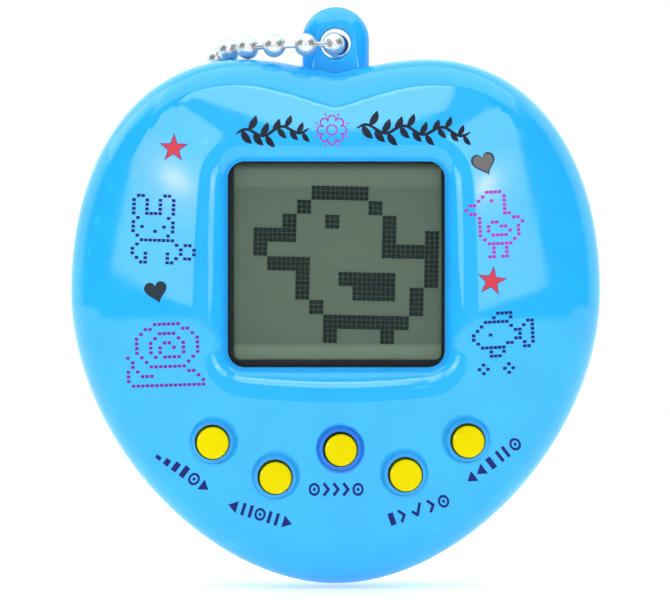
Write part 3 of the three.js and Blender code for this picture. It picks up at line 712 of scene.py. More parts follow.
def rounded_loop(rect, radius, arc_steps=14, side_steps=(32, 30)):
    """Points round a rounded rectangle, (left, bottom, right, top), from its bottom side."""
    left, bottom, right, top = rect
    corners = (
        (right - radius, bottom + radius, -90), (right - radius, top - radius, 0),
        (left + radius, top - radius, 90), (left + radius, bottom + radius, 180),
    )
    loop = []
    for i, (x, z, start) in enumerate(corners):
        loop.extend(arc((x, z), radius, start, start + 90, arc_steps))
        following = corners[(i + 1) % 4]
        target = np.array(arc(following[:2], radius, following[2], following[2], 1)[0])
        here = np.array(loop[-1])
        steps = side_steps[(i + 1) % 2]
        loop.extend(tuple(here + (target - here) * k / steps) for k in range(1, steps))
    return np.array(loop)


def grown(rect, by):
    left, bottom, right, top = rect
    return left - by, bottom - by, right + by, top + by


def circle_loop(centre, radius):
    return np.array(centre) + radius * directions(full_turn(BUTTON_SEGMENTS))


def inside_loop(points, loop):
    """Which points lie inside a closed loop."""
    x, z = points[:, 0, None], points[:, 1, None]
    (x0, z0), (x1, z1) = loop.T, np.roll(loop, -1, axis=0).T
    spans = (z0 > z) != (z1 > z)
    rise = np.where(z1 == z0, 1, z1 - z0)
    crosses = x < (x1 - x0) * (z - z0) / rise + x0
    return (spans & crosses).sum(axis=1) % 2 == 1


def loop_distance(points, loop):
    """Distance from each point to the nearest edge of a closed loop."""
    start, step = loop, np.roll(loop, -1, axis=0) - loop
    away = points[:, None] - start
    share = np.clip((away * step).sum(-1) / (step ** 2).sum(-1), 0, 1)
    return np.linalg.norm(away - share[..., None] * step, axis=-1).min(axis=1)


def hex_grid(loop, spacing):
    """A staggered grid of points over a loop's box, symmetrical about x = 0."""
    low, high = loop.min(axis=0), loop.max(axis=0)
    rows = np.arange(low[1], high[1], spacing * math.sqrt(0.75))
    reach = math.ceil(max(abs(low[0]), abs(high[0])) / spacing) * spacing
    columns = np.arange(-reach, reach + spacing / 2, spacing)
    grid = [(x + (spacing / 2 if r % 2 else 0), z) for r, z in enumerate(rows) for x in columns]
    return np.array(grid)


def filled(loop, holes, spacing):
    """Triangles that fill a loop apart from its holes: (points, triangles)."""
    loops = [loop, *holes]
    grid = hex_grid(loop, spacing)
    keep = inside_loop(grid, loop)
    grid = grid[keep]
    for ring in loops:
        keep = loop_distance(grid, ring) > GRID_CLEAR * spacing
        if ring is not loop:
            keep &= ~inside_loop(grid, ring)
        grid = grid[keep]
    edges, start = [], 0
    for ring in loops:
        count = len(ring)
        edges.extend((start + i, start + (i + 1) % count) for i in range(count))
        start += count
    points = [tuple(p) for p in np.concatenate([*loops, grid])]
    made = delaunay_2d_cdt(points, edges, [], 0, 1e-7)
    flat = np.array([tuple(v) for v in made[0]])
    triangles = np.array(made[2])
    middles = flat[triangles].mean(axis=1)
    keep = inside_loop(middles, loop)
    for ring in holes:
        keep &= ~inside_loop(middles, ring)
    return flat, [tuple(int(i) for i in t) for t in triangles[keep]]


def stood(loop, depth):
    """A loop of (x, z) as (x, y, z) points in front of the seam by depth, a number or array."""
    return np.stack([loop[:, 0], -np.broadcast_to(depth, len(loop)), loop[:, 1]], axis=1)


def inset(loop, distance):
    """A loop moved in towards the heart's centre."""
    away = CENTRE - loop
    return loop + away * distance / np.linalg.norm(away, axis=1)[:, None]


def front_blank():
    """The front shell's outside as a closed solid, with blind pockets for screen and buttons."""
    base = FRONT_RIM[0][1]
    rise = (front_depth(SHOULDER) - base) / (SHOULDER_DEPTH - base)
    steps = np.linspace(0, 1, RIM_STEPS + 1)
    creased = np.exp(-(SHOULDER[:, 0] / NOTCH_HALF_WIDTH) ** 2) * (SHOULDER[:, 1] > CENTRE[1])
    rim = [(share, plain + (sharp - plain) * creased) for (share, plain), (_, sharp)
           in zip(bezier(*FRONT_RIM, steps), bezier(*NOTCH_RIM, steps))]
    rings = [stood(inset(OUTER, SEAM_GROOVE), SEAM_GAP), stood(OUTER, SEAM_GAP + SEAM_GROOVE)]
    rings += [stood(OUTER + (SHOULDER - OUTER) * share, base + (depth - base) * rise)
              for share, depth in rim]
    sides, faces = lofted(rings, capped=False)
    windows = [rounded_loop(grown(WINDOW, d), WINDOW_CORNER + d) for d in WINDOW_RINGS]
    pocket = [stood(windows[0], WINDOW_FRONT - depth) for depth in WINDOW_POCKET]
    parts = [(sides, [*faces, tuple(range(len(OUTER)))]), pocket_mouth(pocket, windows[1:])]
    for at in BUTTONS.values():
        loops = [circle_loop(at, r) for r in BUTTON_RINGS]
        top = front_depth(loops[1]) - BUTTON_MOUTH_STEP
        pocket = [stood(loops[0], depth) for depth in (BUTTON_POCKET_FLOOR, top)]
        parts.append(pocket_mouth(pocket, loops[1:]))
    holes = [windows[-1], *(circle_loop(at, BUTTON_RINGS[-1]) for at in BUTTONS.values())]
    flat, triangles = filled(SHOULDER, holes, DOME_GRID)
    parts.append((stood(flat, front_depth(flat)), triangles))
    return combined(parts)


def pocket_mouth(pocket, loops):
    """A blind pocket and the shaped surface round its mouth, open at its outer edge."""
    points, faces = lofted([*pocket, *(stood(loop, front_depth(loop)) for loop in loops)], False)
    return points, [*faces, tuple(range(len(pocket[0])))]


def front_cavity():
    """The hollow behind the front, to one wall's thickness."""
    out, top = heart(OUTER_HEART, COARSE_STEPS), heart(SHOULDER_HEART, COARSE_STEPS)
    layers = [(out, CAVITY_START), (out, FRONT_RIM[0][1])]
    layers += [(out + (top - out) * share, depth) for share, depth in
               bezier(*FRONT_RIM, np.linspace(CAVITY_RIM_START, 1, 5))]
    for share in CAVITY_SHARES:
        loop = CENTRE + (top - CENTRE) * share
        layers.append((loop, dome_depth(loop)))
    return lofted([stood(inset(loop, WALL_SIDEWAYS), depth - WALL) for loop, depth in layers])


def round_bar(at, radius, front, back, segments=32):
    """A round bar along Y from front to back."""
    return turned(at, [(radius, front), (radius, back)], segments)


def plate(rect, corner, front, back, chamfer=0.0):
    """A rounded plate; a positive chamfer trims its back edge, a negative one flares it."""
    def ring(by, y):
        return stood(rounded_loop(grown(rect, by), corner + by, 8, (2, 2)), -y)
    if not chamfer:
        return lofted([ring(0, front), ring(0, back)])
    return lofted([ring(0, front), ring(0, back - abs(chamfer)), ring(-chamfer, back)])


CASE_SCREWS = {"left": (-19, -13), "right": (19, -13), "bottom": (0, -50.8)}
BOARD_SCREWS = {"left": (-18.6, -24), "right": (18.6, -24)}
GUIDE_RADIUS = 2.8
GUIDE_END = -4.6
FRONT_POSTS = (
    # where they stand, radius, y of their back end; radius, front and back of their bores
    (CASE_SCREWS, 2.3, -0.2, 0.95, -4.3, 1),
    (BOARD_SCREWS, 1.6, -1.7, 0.62, -4.3, 1),
    (BUTTONS, GUIDE_RADIUS, GUIDE_END, GUIDE_RADIUS, GUIDE_END, -1.1),
)
SCREEN_BED = {"beyond": 2.1, "corner": 1.7, "front": -5.0}
DEEP = 14


def shade_dishes(shell):
    """Paints shade into the dishes round the buttons: their faces take a deeper blue, deepest
    round the middle one.
    """
    for name in ("blue_dish_shade", "blue_dish_deep_shade"):
        shell.data.materials.append(MATERIALS[name])
    centres = np.array([tuple(face.center) for face in shell.data.polygons]) / MM
    slots = np.zeros(len(centres), int)
    for name, at in BUTTONS.items():
        near = np.hypot(centres[:, 0] - at[0], centres[:, 2] - at[1]) < DISH_RADIUS
        slots[near & (centres[:, 1] < GUIDE_END)] = 2 if name == "reset" else 1
    shell.data.polygons.foreach_set("material_index", slots.tolist())


def make_front():
    shell = add_mesh("front_shell_moulding", *front_blank())
    hollow = add_mesh("hollow", *front_cavity())
    cut(hollow, plate(grown(WINDOW, SCREEN_BED["beyond"]), SCREEN_BED["corner"], -DEEP,
                      SCREEN_BED["front"]))
    bores = []
    for sites, radius, end, bore, front, back in FRONT_POSTS:
        for at in sites.values():
            cut(hollow, round_bar(at, radius, -DEEP, end))
            bores.append(round_bar(at, bore, front, back))
    boolean(shell, hollow, "DIFFERENCE")
    cut(shell, combined(bores))
    fuse(shell, tab_half(-1))
    finish_mesh(shell, "blue")
    shade_dishes(shell)
    return place(shell, "case", "blue_shell", "front_shell", even=True)


# ---- Loop tab ----

TAB = {"half_width": 3.48, "top": 3.86, "root": -4.4, "half_thick": 1.6, "hole": 1.575}
TAB_EDGE = (1.5, 1.35)
TAB_FULLNESS = 1.4
TAB_MOUTH = 0.28
TAB_TURN = 3.0  # degrees between the points of its outline


def tab_reach(angle):
    """How far the tab's outline is from the hole's centre in a direction."""
    half, root = TAB["half_width"], TAB["root"]
    lift = TAB["top"] - half
    across, up = math.cos(angle), math.sin(angle)
    round_top = lift * up + math.sqrt(half ** 2 - (lift * across) ** 2)
    if round_top * up >= lift:
        return round_top
    side = half / abs(across) if abs(across) > 1e-6 else math.inf
    bottom = root / up if up < 0 else math.inf
    return min(side, bottom)


def soft_edge(across, deep, steps=14):
    """A rounding from the side to the front, flatter than a circle: part of a superellipse."""
    turns = np.linspace(0, math.pi / 2, steps + 1)
    power = 2 / TAB_FULLNESS
    return [(across * max(math.cos(a), 0) ** power, deep * math.sin(a) ** power) for a in turns]


def tab_half(side):
    """Half the loop tab as a closed ring, in front (-1) of the seam or behind it (+1)."""
    angles = np.arange(0, 360, TAB_TURN)
    reach = np.array([tab_reach(math.radians(a)) for a in angles])
    thick, hole = TAB["half_thick"], TAB["hole"]
    across, deep = TAB_EDGE
    rings = [(reach - SEAM_GROOVE, SEAM_GAP), (reach, SEAM_GAP + SEAM_GROOVE)]
    rings += [(reach - across + u, thick - deep + v) for u, v in soft_edge(across, deep)]
    rings += [(hole + TAB_MOUTH + u, v)
              for u, v in arc((0, thick - TAB_MOUTH), TAB_MOUTH, 90, 180, 5)]
    rings.append((hole, SEAM_GAP))
    ways = directions(np.radians(angles))
    return looped([stood(ways * np.reshape(r, (-1, 1)), -side * y) for r, y in rings])


# ---- Back shell ----

BAY = (1.8, -42.0, 14.2, -17.2)
BAY_BLOCK = (0.4, -44.0, 15.6, -15.9)
BAY_FLOOR = 0.4
BLOCK_FRONT = -0.4
DOOR = (1.2, -43.2, 14.8, -12.4)
DOOR_CORNER = 2.0
DOOR_GAP = 0.15
DOOR_FRONT = 6.65
DOOR_SEAT = 6.6
DOOR_SCREW = (8, -14.9)
# The block round the door's screw: how far it reaches past the door and down it, and its front.
SCREW_BLOCK = {"beyond": 0.8, "down": 4.6, "front": 2.8}
SCREW_BORE = 0.8
LABEL_FLAT = (-20.6, -32, -15.6, -20)
BUZZER = (-8, -30)
SOUND_HOLE = 0.6
SOUND_SPREAD = 2.3
CONTACT_PINS = ((4.5, -23.3), (4.5, -35.9))
CASE_POST = 2.9
SCREW_WELL = {"radius": 2.35, "floor": 5.2, "bore": 1.15}
LABEL_DEPTH = 0.15
EDGE_BREAK = 0.18


def back_blank():
    rim = bezier(*BACK_RIM, np.linspace(0, 1, RIM_STEPS + 1))
    rings = [stood(inset(OUTER, SEAM_GROOVE), -SEAM_GAP), stood(OUTER, -SEAM_GAP - SEAM_GROOVE)]
    rings += [stood(inset(OUTER, max(by, 1e-4)), -depth) for by, depth in rim]
    return lofted(rings)


def back_cavity():
    out = heart(OUTER_HEART, COARSE_STEPS)
    layers = [(0, CAVITY_START + WALL), (0, BACK_RIM[0][1])]
    layers += [tuple(p) for p in bezier(*BACK_RIM, np.linspace(CAVITY_RIM_START, 1, 6))]
    return lofted([stood(inset(out, by + WALL_SIDEWAYS), -(depth - WALL)) for by, depth in layers])


def make_back():
    shell = add_mesh("back_shell_moulding", *back_blank())
    hollow = add_mesh("hollow", *back_cavity())
    cut(hollow, plate(BAY_BLOCK, 1.2, BLOCK_FRONT, DEEP))
    left, _, right, top = DOOR
    beyond = SCREW_BLOCK["beyond"]
    block = left - beyond, top - SCREW_BLOCK["down"], right + beyond, top + beyond
    cut(hollow, plate(block, 1.0, SCREW_BLOCK["front"], DEEP))
    for at in CASE_SCREWS.values():
        cut(hollow, round_bar(at, CASE_POST, 0.2, DEEP))
    boolean(shell, hollow, "DIFFERENCE")
    fuse(shell, tab_half(1))
    cut(shell, plate(BAY, 1.0, BAY_FLOOR, DEEP))
    cut(shell, plate(grown(DOOR, DOOR_GAP), DOOR_CORNER, DOOR_SEAT, BACK_DEPTH + 0.3,
                     -0.3 - EDGE_BREAK))
    cut(shell, plate(LABEL_FLAT, 0.8, BACK_DEPTH - LABEL_DEPTH, BACK_DEPTH + 1))
    cut(shell, round_bar(DOOR_SCREW, SCREW_BORE, 3.1, DEEP))
    ring = [(BUZZER[0] + SOUND_SPREAD * math.cos(a), BUZZER[1] + SOUND_SPREAD * math.sin(a))
            for a in np.radians(90 + np.arange(5) * 72)]
    for at in [BUZZER, *ring]:
        cut(shell, turned(at, [(SOUND_HOLE, 5.5), (SOUND_HOLE, BACK_DEPTH - 0.15),
                               (SOUND_HOLE + 0.35, BACK_DEPTH + 0.2)], 28))
    for at in CONTACT_PINS:
        cut(shell, round_bar(at, 0.6, -1, 1, 20))
    well = SCREW_WELL["radius"]
    for at in CASE_SCREWS.values():
        cut(shell, round_bar(at, SCREW_WELL["bore"], -1, DEEP, 36))
        cut(shell, turned(at, [(well, SCREW_WELL["floor"]), (well, BACK_DEPTH - EDGE_BREAK),
                               (well + 2 * EDGE_BREAK, BACK_DEPTH + EDGE_BREAK)], 56))
    finish_mesh(shell, "blue")
    return place(shell, "case", "blue_shell", "back_shell", even=True)


make_front()
make_back()

# ---- Screen ----

GASKET = (-12.6, -34.9, 12.8, -11.2)
LCD_OPENING = (-10.5, -32.85, 10.9, -12.65)
OPENING_CORNER = 0.7
LCD_FRONT = -4.3
PICTURE_CENTRE = (0.30, -23.05)
PICTURE_TILT = -1.2
PICTURE_PITCH = 1.475
PICTURE = """
.....####.....
....#....#....
...#..#...#...
.###......#..#
.#........####
..###........#
....#..####..#
....#...###.#.
.....#......#.
......######..
......#...#...
"""
SEGMENTS_ACROSS = 3
SEGMENT_GAP = 0.035
SEGMENT_THICK = 0.03
SEGMENT_LIFT = 0.005
GASKET_DEPTHS = (-4.95, -4.35)
GASKET_CORNER = 1.5
GASKET_EDGE = 0.12


def ring_plate(outside, inside, front, back, edge):
    """A frame between two loops of equal length, its front edges rounded off by edge."""
    def grow(loop, by):
        middle = (loop.min(axis=0) + loop.max(axis=0)) / 2
        size = (loop.max(axis=0) - loop.min(axis=0)) / 2
        return middle + (loop - middle) * (size + by) / size
    rings = ((outside, back), (outside, front + edge), (grow(outside, -edge), front),
             (grow(inside, edge), front), (inside, front + edge), (inside, back))
    return looped([stood(loop, -y) for loop, y in rings])


def make_gasket():
    outside, inside = (rounded_loop(rect, corner, 8, (6, 6)) for rect, corner
                       in ((GASKET, GASKET_CORNER), (LCD_OPENING, OPENING_CORNER)))
    shape = ring_plate(outside, inside, *GASKET_DEPTHS, GASKET_EDGE)
    foam = add_mesh("screen_gasket_foam", *shape)
    finish_mesh(foam, "black_foam")
    return place(foam, "case", "black_foam", "screen_gasket")


def box_between(corners, front, back):
    """A small plate from four (x, z) corners; front and back are y."""
    points = [(x, y, z) for y in (front, back) for x, z in corners]
    return points, [(0, 1, 2, 3), (7, 6, 5, 4), *((i, i + 4, (i + 1) % 4 + 4, (i + 1) % 4)
                                                for i in range(4))]


def grid_corners(centre, tilt, pitch, size, column, row, half):
    """Corners of one square of a tilted grid of (columns, rows); half is (across, up)."""
    u = (column - (size[0] - 1) / 2) * pitch
    v = ((size[1] - 1) / 2 - row) * pitch
    square = [(u + du * half[0], v + dv * half[1]) for du, dv in SQUARE]
    return np.array(centre) + rotated(square, tilt)


def lit_squares(picture):
    """A picture's (columns, rows) and the (column, row) of each dark square."""
    rows = picture.split()
    size = len(rows[0]), len(rows)
    lit = [(c, r) for r, row in enumerate(rows) for c, mark in enumerate(row) if mark == "#"]
    return size, lit


def make_picture():
    """The dark squares of the display, each of three by three segments."""
    size, lit = lit_squares(PICTURE)
    fine = PICTURE_PITCH / SEGMENTS_ACROSS
    half = [(fine - SEGMENT_GAP) / 2] * 2
    fine_size = size[0] * SEGMENTS_ACROSS, size[1] * SEGMENTS_ACROSS
    back = LCD_FRONT - SEGMENT_LIFT
    parts = []
    for column, row in lit:
        for i in range(SEGMENTS_ACROSS ** 2):
            across = column * SEGMENTS_ACROSS + i % SEGMENTS_ACROSS
            down = row * SEGMENTS_ACROSS + i // SEGMENTS_ACROSS
            corners = grid_corners(PICTURE_CENTRE, PICTURE_TILT, fine, fine_size, across, down,
                                   half)
            parts.append(box_between(corners, back - SEGMENT_THICK, back))
    picture = add_mesh("lcd_segments", *combined(parts))
    finish_mesh(picture, "lcd_dark")
    return place(picture, "case", "lcd_glass")


make_gasket()
make_picture()

# ---- Button caps ----

CAP_RADIUS = 1.63
CAP_FLANGE = 2.3
CAP_FLANGE_FRONT = -4.5
CAP_EDGE = 0.34
CAP_EDGE_DROP = 0.09
CAP_EDGE_SQUAT = 0.75
CAP_CROWN = ((0.5, 0.03), (0.2, 0.0))  # (share of its radius, mm behind the top of its face)
CAP_SIDE_PLAY = (0.06, -0.07)


def make_cap(name, at):
    """A yellow cap: a flanged plunger whose slightly domed face has a rounded edge."""
    low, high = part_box(f"{name}_button")
    face, foot = low.y / MM, high.y / MM
    rounding = [(CAP_RADIUS - CAP_EDGE + CAP_EDGE * math.cos(a),
                 face + CAP_EDGE_DROP + CAP_EDGE * CAP_EDGE_SQUAT * (1 - math.sin(a)))
                for a in np.radians(np.linspace(0, 80, 8))]
    crown = [(CAP_RADIUS * share, face + drop) for share, drop in CAP_CROWN]
    profile = [(CAP_FLANGE, foot), (CAP_FLANGE, CAP_FLANGE_FRONT), (CAP_RADIUS, CAP_FLANGE_FRONT),
               *rounding, *crown]
    centre = at[0] + CAP_SIDE_PLAY[0], at[1] + CAP_SIDE_PLAY[1]
    cap = add_mesh(f"{name}_cap", *turned(centre, profile, 72), None, 40)
    finish_mesh(cap, "yellow", 40)
    return place(cap, f"{name}_key", "yellow_cap", f"{name}_button", even=True)


DOME_BASE = 2.3
DOME_TOP = 1.5
DOME_WALL = 0.35


def make_dome(name, at):
    """A silicone dome under a cap, made in the shape it has before its button collapses it."""
    low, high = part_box(f"{name}_dome")
    front, base = low.y / MM, high.y / MM
    profile = [
        (DOME_TOP * 0.3, front), (DOME_TOP - 0.15, front), (DOME_TOP, front + 0.15),
        (DOME_TOP, front + 0.5), (DOME_TOP + 0.12, front + 0.8),
        (DOME_BASE - 0.25, base - 0.45), (DOME_BASE, base - 0.35), (DOME_BASE, base),
        (DOME_BASE - DOME_WALL - 0.2, base), (DOME_TOP - 0.1, base - 1.0),
        (DOME_TOP * 0.3, base - 1.05),
    ]
    dome = add_mesh(f"{name}_dome_skin", *turned(at, profile, 40))
    finish_mesh(dome, "silicone")
    place(dome, "case", "clear_silicone", f"{name}_dome")
    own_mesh(dome)


for button, position in BUTTONS.items():
    make_cap(button, position)
    make_dome(button, position)

# ---- Battery cover, cells and screws ----

DOOR_WELL = (1.75, 7.1)  # radius and y of its floor
GRIPS = {"rows": 4, "pitch": 1.3, "low": -41.2, "half_width": 3.6, "height": 0.6, "depth": 0.35}
ARROW = ((-1.5, -34.6), (1.5, -34.6), (0, -32.6))
ARROW_DEPTH = 0.25
CELLS = {"upper": ((8, -23.3), True), "lower": ((8, -35.9), False)}
CELL_LAYER = (0.75, 6.15)
LARGE_HEAD = 1.8
HEAD_DEPTHS = (0.8, 1.15)  # of a small screw's head and of a large one's
HEAD_ROUNDING = 0.45
THREAD_PITCH = 0.7
THREAD_ROOT = 0.8
TIP_LENGTH = 0.8
PLAIN_SHANK = 1.2
RECESS = ((-0.75, 0.55), (-0.3, 0.95), (0.3, 1.05))  # (y from the head's top, share of its size)
RECESS_SIZE = (0.58, 0.21)  # half its length as a share of the head, half its width in mm


def make_cover():
    """The battery door: a rounded plate with a screw well, finger grips and an open arrow."""
    cover = add_mesh("battery_cover_plate", *plate(DOOR, DOOR_CORNER - DOOR_GAP, DOOR_FRONT,
                                                   BACK_DEPTH, EDGE_BREAK))
    cut(cover, round_bar(DOOR_SCREW, SCREW_BORE, 5, DEEP, 28))
    radius, floor = DOOR_WELL
    cut(cover, turned(DOOR_SCREW, [(radius, floor), (radius, BACK_DEPTH - 0.15),
                                   (radius + 0.3, BACK_DEPTH + 0.15)], 40))
    middle, half = DOOR_SCREW[0], GRIPS["half_width"]
    for i in range(GRIPS["rows"]):
        low = GRIPS["low"] + i * GRIPS["pitch"]
        cut(cover, plate((middle - half, low, middle + half, low + GRIPS["height"]), 0.29,
                         BACK_DEPTH - GRIPS["depth"], BACK_DEPTH + 0.2, -0.3))
    arrow = np.array(ARROW) + (middle, 0)
    cut(cover, lofted([stood(arrow, -y) for y in (BACK_DEPTH - ARROW_DEPTH, BACK_DEPTH + 1)]))
    finish_mesh(cover, "blue")
    return place(cover, "battery_cover", "blue_shell", "battery_door", even=True)


def make_screw(name, node, body, at, head, shank):
    """A pan-head screw with a tapered cross recess and turns of thread on its shank."""
    low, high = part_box(node)
    tip, top = low.y / MM, high.y / MM
    seat = top - HEAD_DEPTHS[head > LARGE_HEAD]
    root = shank * THREAD_ROOT
    thread = [(shank * 0.25, tip), (root, tip + TIP_LENGTH)]
    for i in range(int((seat - PLAIN_SHANK - tip - TIP_LENGTH) / THREAD_PITCH)):
        start = tip + TIP_LENGTH + i * THREAD_PITCH
        thread += [(shank, start + THREAD_PITCH * 0.3), (shank, start + THREAD_PITCH * 0.42),
                   (root, start + THREAD_PITCH * 0.75)]
    rounding = arc((head - HEAD_ROUNDING, top - HEAD_ROUNDING), HEAD_ROUNDING, 0, 90, 7)
    profile = [*thread, (shank * 0.95, seat - 0.4), (shank, seat), (head - 0.1, seat),
               (head, seat + 0.1), *rounding]
    screw = add_mesh(name, *turned(at, profile, 48))
    length, width = head * RECESS_SIZE[0], RECESS_SIZE[1]
    for across, up in ((length, width), (width, length)):
        cut(screw, lofted([
            [(at[0] + u * across * size, top + depth, at[1] + v * up * size) for u, v in SQUARE]
            for depth, size in RECESS
        ]))
    finish_mesh(screw, "steel")
    return place(screw, body, "steel", node)


def make_cell(name, at, cap_forward):
    """A button cell: a plain can, crimped round a smaller cap."""
    front, back = CELL_LAYER
    height = back - front
    profile = [(4.3, 0), (4.6, 0.12), (4.6, 0.3), (4.95, 0.34), (5.15, 0.2), (5.45, 0.16),
               (5.7, 0.28), (5.8, 0.6), (5.8, height - 0.3), (5.7, height - 0.08),
               (5.45, height), (4.9, height), (4.82, height - 0.06)]
    turned_profile = [(r, front + y if cap_forward else back - y) for r, y in profile]
    cell = add_mesh(f"button_cell_{name}", *turned(at, turned_profile, 80))
    finish_mesh(cell, "steel")
    return place(cell, "case", "steel", f"battery_cell_{name}")


make_cover()
make_screw("battery_cover_screw", "battery_door_screw", "battery_cover", DOOR_SCREW, 1.5, 0.7)
for side, position in CASE_SCREWS.items():
    make_screw(f"shell_screw_{side}", f"case_screw_{side}", "case", position, 2.0, 0.85)
for place_name, (position, forward) in CELLS.items():
    make_cell(place_name, position, forward)

# ---- Printed decoration ----

INK_PROUD = 0.015
INK_SUNK = 0.05
DOT_HALF = (0.185, 0.155)
ICON_MARGIN = 0.4  # of a dot's pitch, left out of an icon's width
SNAIL = """
......######.....
....##......##...
...#...####...#..
..#...#....#...#.
..#..#..##..#..#.
..#..#.#..#.#..#.
..#..#.#....#..#.
#..#..#.####..#..
.#..#........#...
.#...########....
#.#..........##..
#..###.........#.
#...............#
.################
"""
RABBIT = """
..##....##......
.#..#..#..#.....
.#..#..#..#.....
.#..#..#..#.....
.#..####..#.....
..#......#......
.#........#.....
.#.#....#.#.....
.#....#...#.....
..#......#......
...########.....
..#........#.##.
.#..........#..#
.#..#....#..#..#
..#.#....#.#.##.
...##....##.....
"""
BIRD = """
.....####.....
....#....#....
...#..#..#....
.##......#....
#........#....
.##......##...
...#.......##.
...#..##.....#
...#.#..##..#.
...#.#....#.#.
...#..####..#.
....#......#..
.....######...
......#..#....
......#..#....
.....##.##....
"""
FISH = """
......####......
.....#...#......
...######....##.
..#......#..#.#.
.#........##..#.
#...#......#..#.
#.........##..#.
.#......##..#.#.
..######....##..
....#..#........
....###.........
................
..#.....#.......
.#.#...#.#......
..#.....#.......
"""
ICONS = {
    # name: (picture, ink, centre, width, tilt)
    "dots_rabbit": (RABBIT, "ink_navy", (-17.82, -19.46), 7.1, -2),
    "dots_snail": (SNAIL, "ink_violet", (-17.48, -32.31), 8.0, 2),
    "dots_bird": (BIRD, "ink_magenta", (16.29, -18.95), 6.0, 3),
    "dots_fish": (FISH, "ink_navy", (17.41, -31.07), 6.8, 3),
}
STAR_POINTS = 5
STAR_DEPTH = 0.4
HEART_LEAN = 0.22
BADGE_FILL = 0.86
BADGE_GRID = 0.5
BADGE_GAP = 0.004
VINES = {
    # name: stem from (x, z) to (x, z), and how many leaves grow along it
    "vine_left": ((-10.2, -9.7), (-2.75, -9.1), 11),
    "vine_right": ((2.15, -9.1), (13.8, -9.5), 17),
}
VINE_WAVE = 0.42
LEAF_LENGTH = 1.75
LEAF_WIDTH = 0.62
LEAF_LEAN = 58
LEAF_SHRINK = 0.35
LEAF_BENDS = ((0, 0), (0.25, -0.05), (0.5, -0.06), (0.75, -0.02), (1, 0.06))
LEAF_TIPS = (0.1, 0.08)
LEAF_SWELL = (1.05, 1.3, 1.0)
STEM_WIDTHS = (0.12, 0.3)
FLOWER_CENTRE = (-0.39, -9.27)
FLOWER_HEART = 0.52
PETALS = {"count": 8, "radius": 0.42, "out": 1.08, "sweep": 118}
RAYS = (1.55, 1.9)
RAY_WIDTHS = (0.15, 0.11)
LINE_WIDTH = 0.15


def inked(name, flat_parts, ink):
    """A thin printed film: each (points, faces) part follows the front surface."""
    parts = []
    for flat, faces in flat_parts:
        flat = np.asarray(flat, float)
        depth = front_depth(flat)
        count = len(flat)
        uses = {}
        for face in faces:
            for pair in zip(face, face[1:] + face[:1]):
                uses[frozenset(pair)] = uses.get(frozenset(pair), 0) + 1
        rim = [tuple(edge) for edge, n in uses.items() if n == 1]
        points = [*stood(flat, depth + INK_PROUD), *stood(flat, depth - INK_SUNK)]
        below = [tuple(i + count for i in face[::-1]) for face in faces]
        parts.append((points, [*faces, *below, *((a, b, b + count, a + count) for a, b in rim)]))
    film = add_mesh(name, *combined(parts))
    finish_mesh(film, ink)
    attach(film, "case")


def make_icon(name, picture, ink, centre, width, tilt):
    """A picture of separate printed dots."""
    size, lit = lit_squares(picture)
    pitch = width / (size[0] - ICON_MARGIN)
    squares = [(grid_corners(centre, tilt, pitch, size, c, r, DOT_HALF), [(0, 1, 2, 3)])
               for c, r in lit]
    inked(name, squares, ink)


def star_loop(centre, radius, tilt):
    turns = np.arange(STAR_POINTS * 2)
    angles = np.radians(90 + tilt + turns * 180 / STAR_POINTS)
    radii = np.where(turns % 2, radius * STAR_DEPTH, radius)
    return np.array(centre) + radii[:, None] * directions(angles)


def heart_loop(centre, width, height, tilt):
    """A hand-drawn heart, its tip leaning to one side, scaled from a curve 32 by 29 units."""
    t = np.radians(np.arange(0, 360, 9))
    x = 16 * np.sin(t) ** 3
    z = 13 * np.cos(t) - 5 * np.cos(2 * t) - 2 * np.cos(3 * t) - np.cos(4 * t)
    u, v = x / 32 * width, (z + 2.5) / 29 * height
    u = u + HEART_LEAN * np.minimum(v, 0) ** 2
    return np.array(centre) + rotated(np.stack([u, v], axis=1), tilt)


def shrunk(loop, share):
    middle = loop.mean(axis=0)
    return middle + (loop - middle) * share


def make_badge(name, loop, edge_ink, fill_ink):
    """A filled badge inside an outline of its own ink."""
    inner, fill = (shrunk(loop, share) for share in (BADGE_FILL, BADGE_FILL - BADGE_GAP))
    inked(f"{name}_outline", [filled(loop, [inner], BADGE_GRID)], edge_ink)
    inked(f"{name}_fill", [filled(fill, (), BADGE_GRID)], fill_ink)


def stroke(points, widths, steps=10):
    """A pen stroke through points as a filled outline, its width changing along it."""
    points = np.asarray(points, float)
    fine = np.linspace(0, len(points) - 1, (len(points) - 1) * steps + 1)
    padded = with_ends(points)
    line = []
    for s in fine:
        i = min(int(s), len(points) - 2)
        p0, p1, p2, p3 = padded[i:i + 4]
        w = s - i
        line.append(0.5 * (2 * p1 + (p2 - p0) * w + (2 * p0 - 5 * p1 + 4 * p2 - p3) * w ** 2
                           + (3 * p1 - p0 - 3 * p2 + p3) * w ** 3))
    line = np.array(line)
    slope = np.gradient(line, axis=0)
    side = np.stack([-slope[:, 1], slope[:, 0]], axis=1)
    side /= np.linalg.norm(side, axis=1)[:, None]
    half = np.interp(fine, np.arange(len(points)), widths)[:, None] / 2
    return strip(line + side * half, line - side * half)


def strip(left, right):
    """A band of quads between two edges."""
    count = len(left)
    flat = np.concatenate([left, right])
    return flat, [(i, i + 1, count + i + 1, count + i) for i in range(count - 1)]


def ring_band(centre, radius, width, segments, start=0, end=360):
    ways = directions(np.radians(np.linspace(start, end, segments + 1)))
    outside, inside = (np.array(centre) + ways * r
                       for r in (radius + width / 2, radius - width / 2))
    if end - start < 360:
        return strip(outside, inside)
    flat = np.concatenate([outside[:-1], inside[:-1]])
    faces = [(i, (i + 1) % segments, segments + (i + 1) % segments, segments + i)
             for i in range(segments)]
    return flat, faces


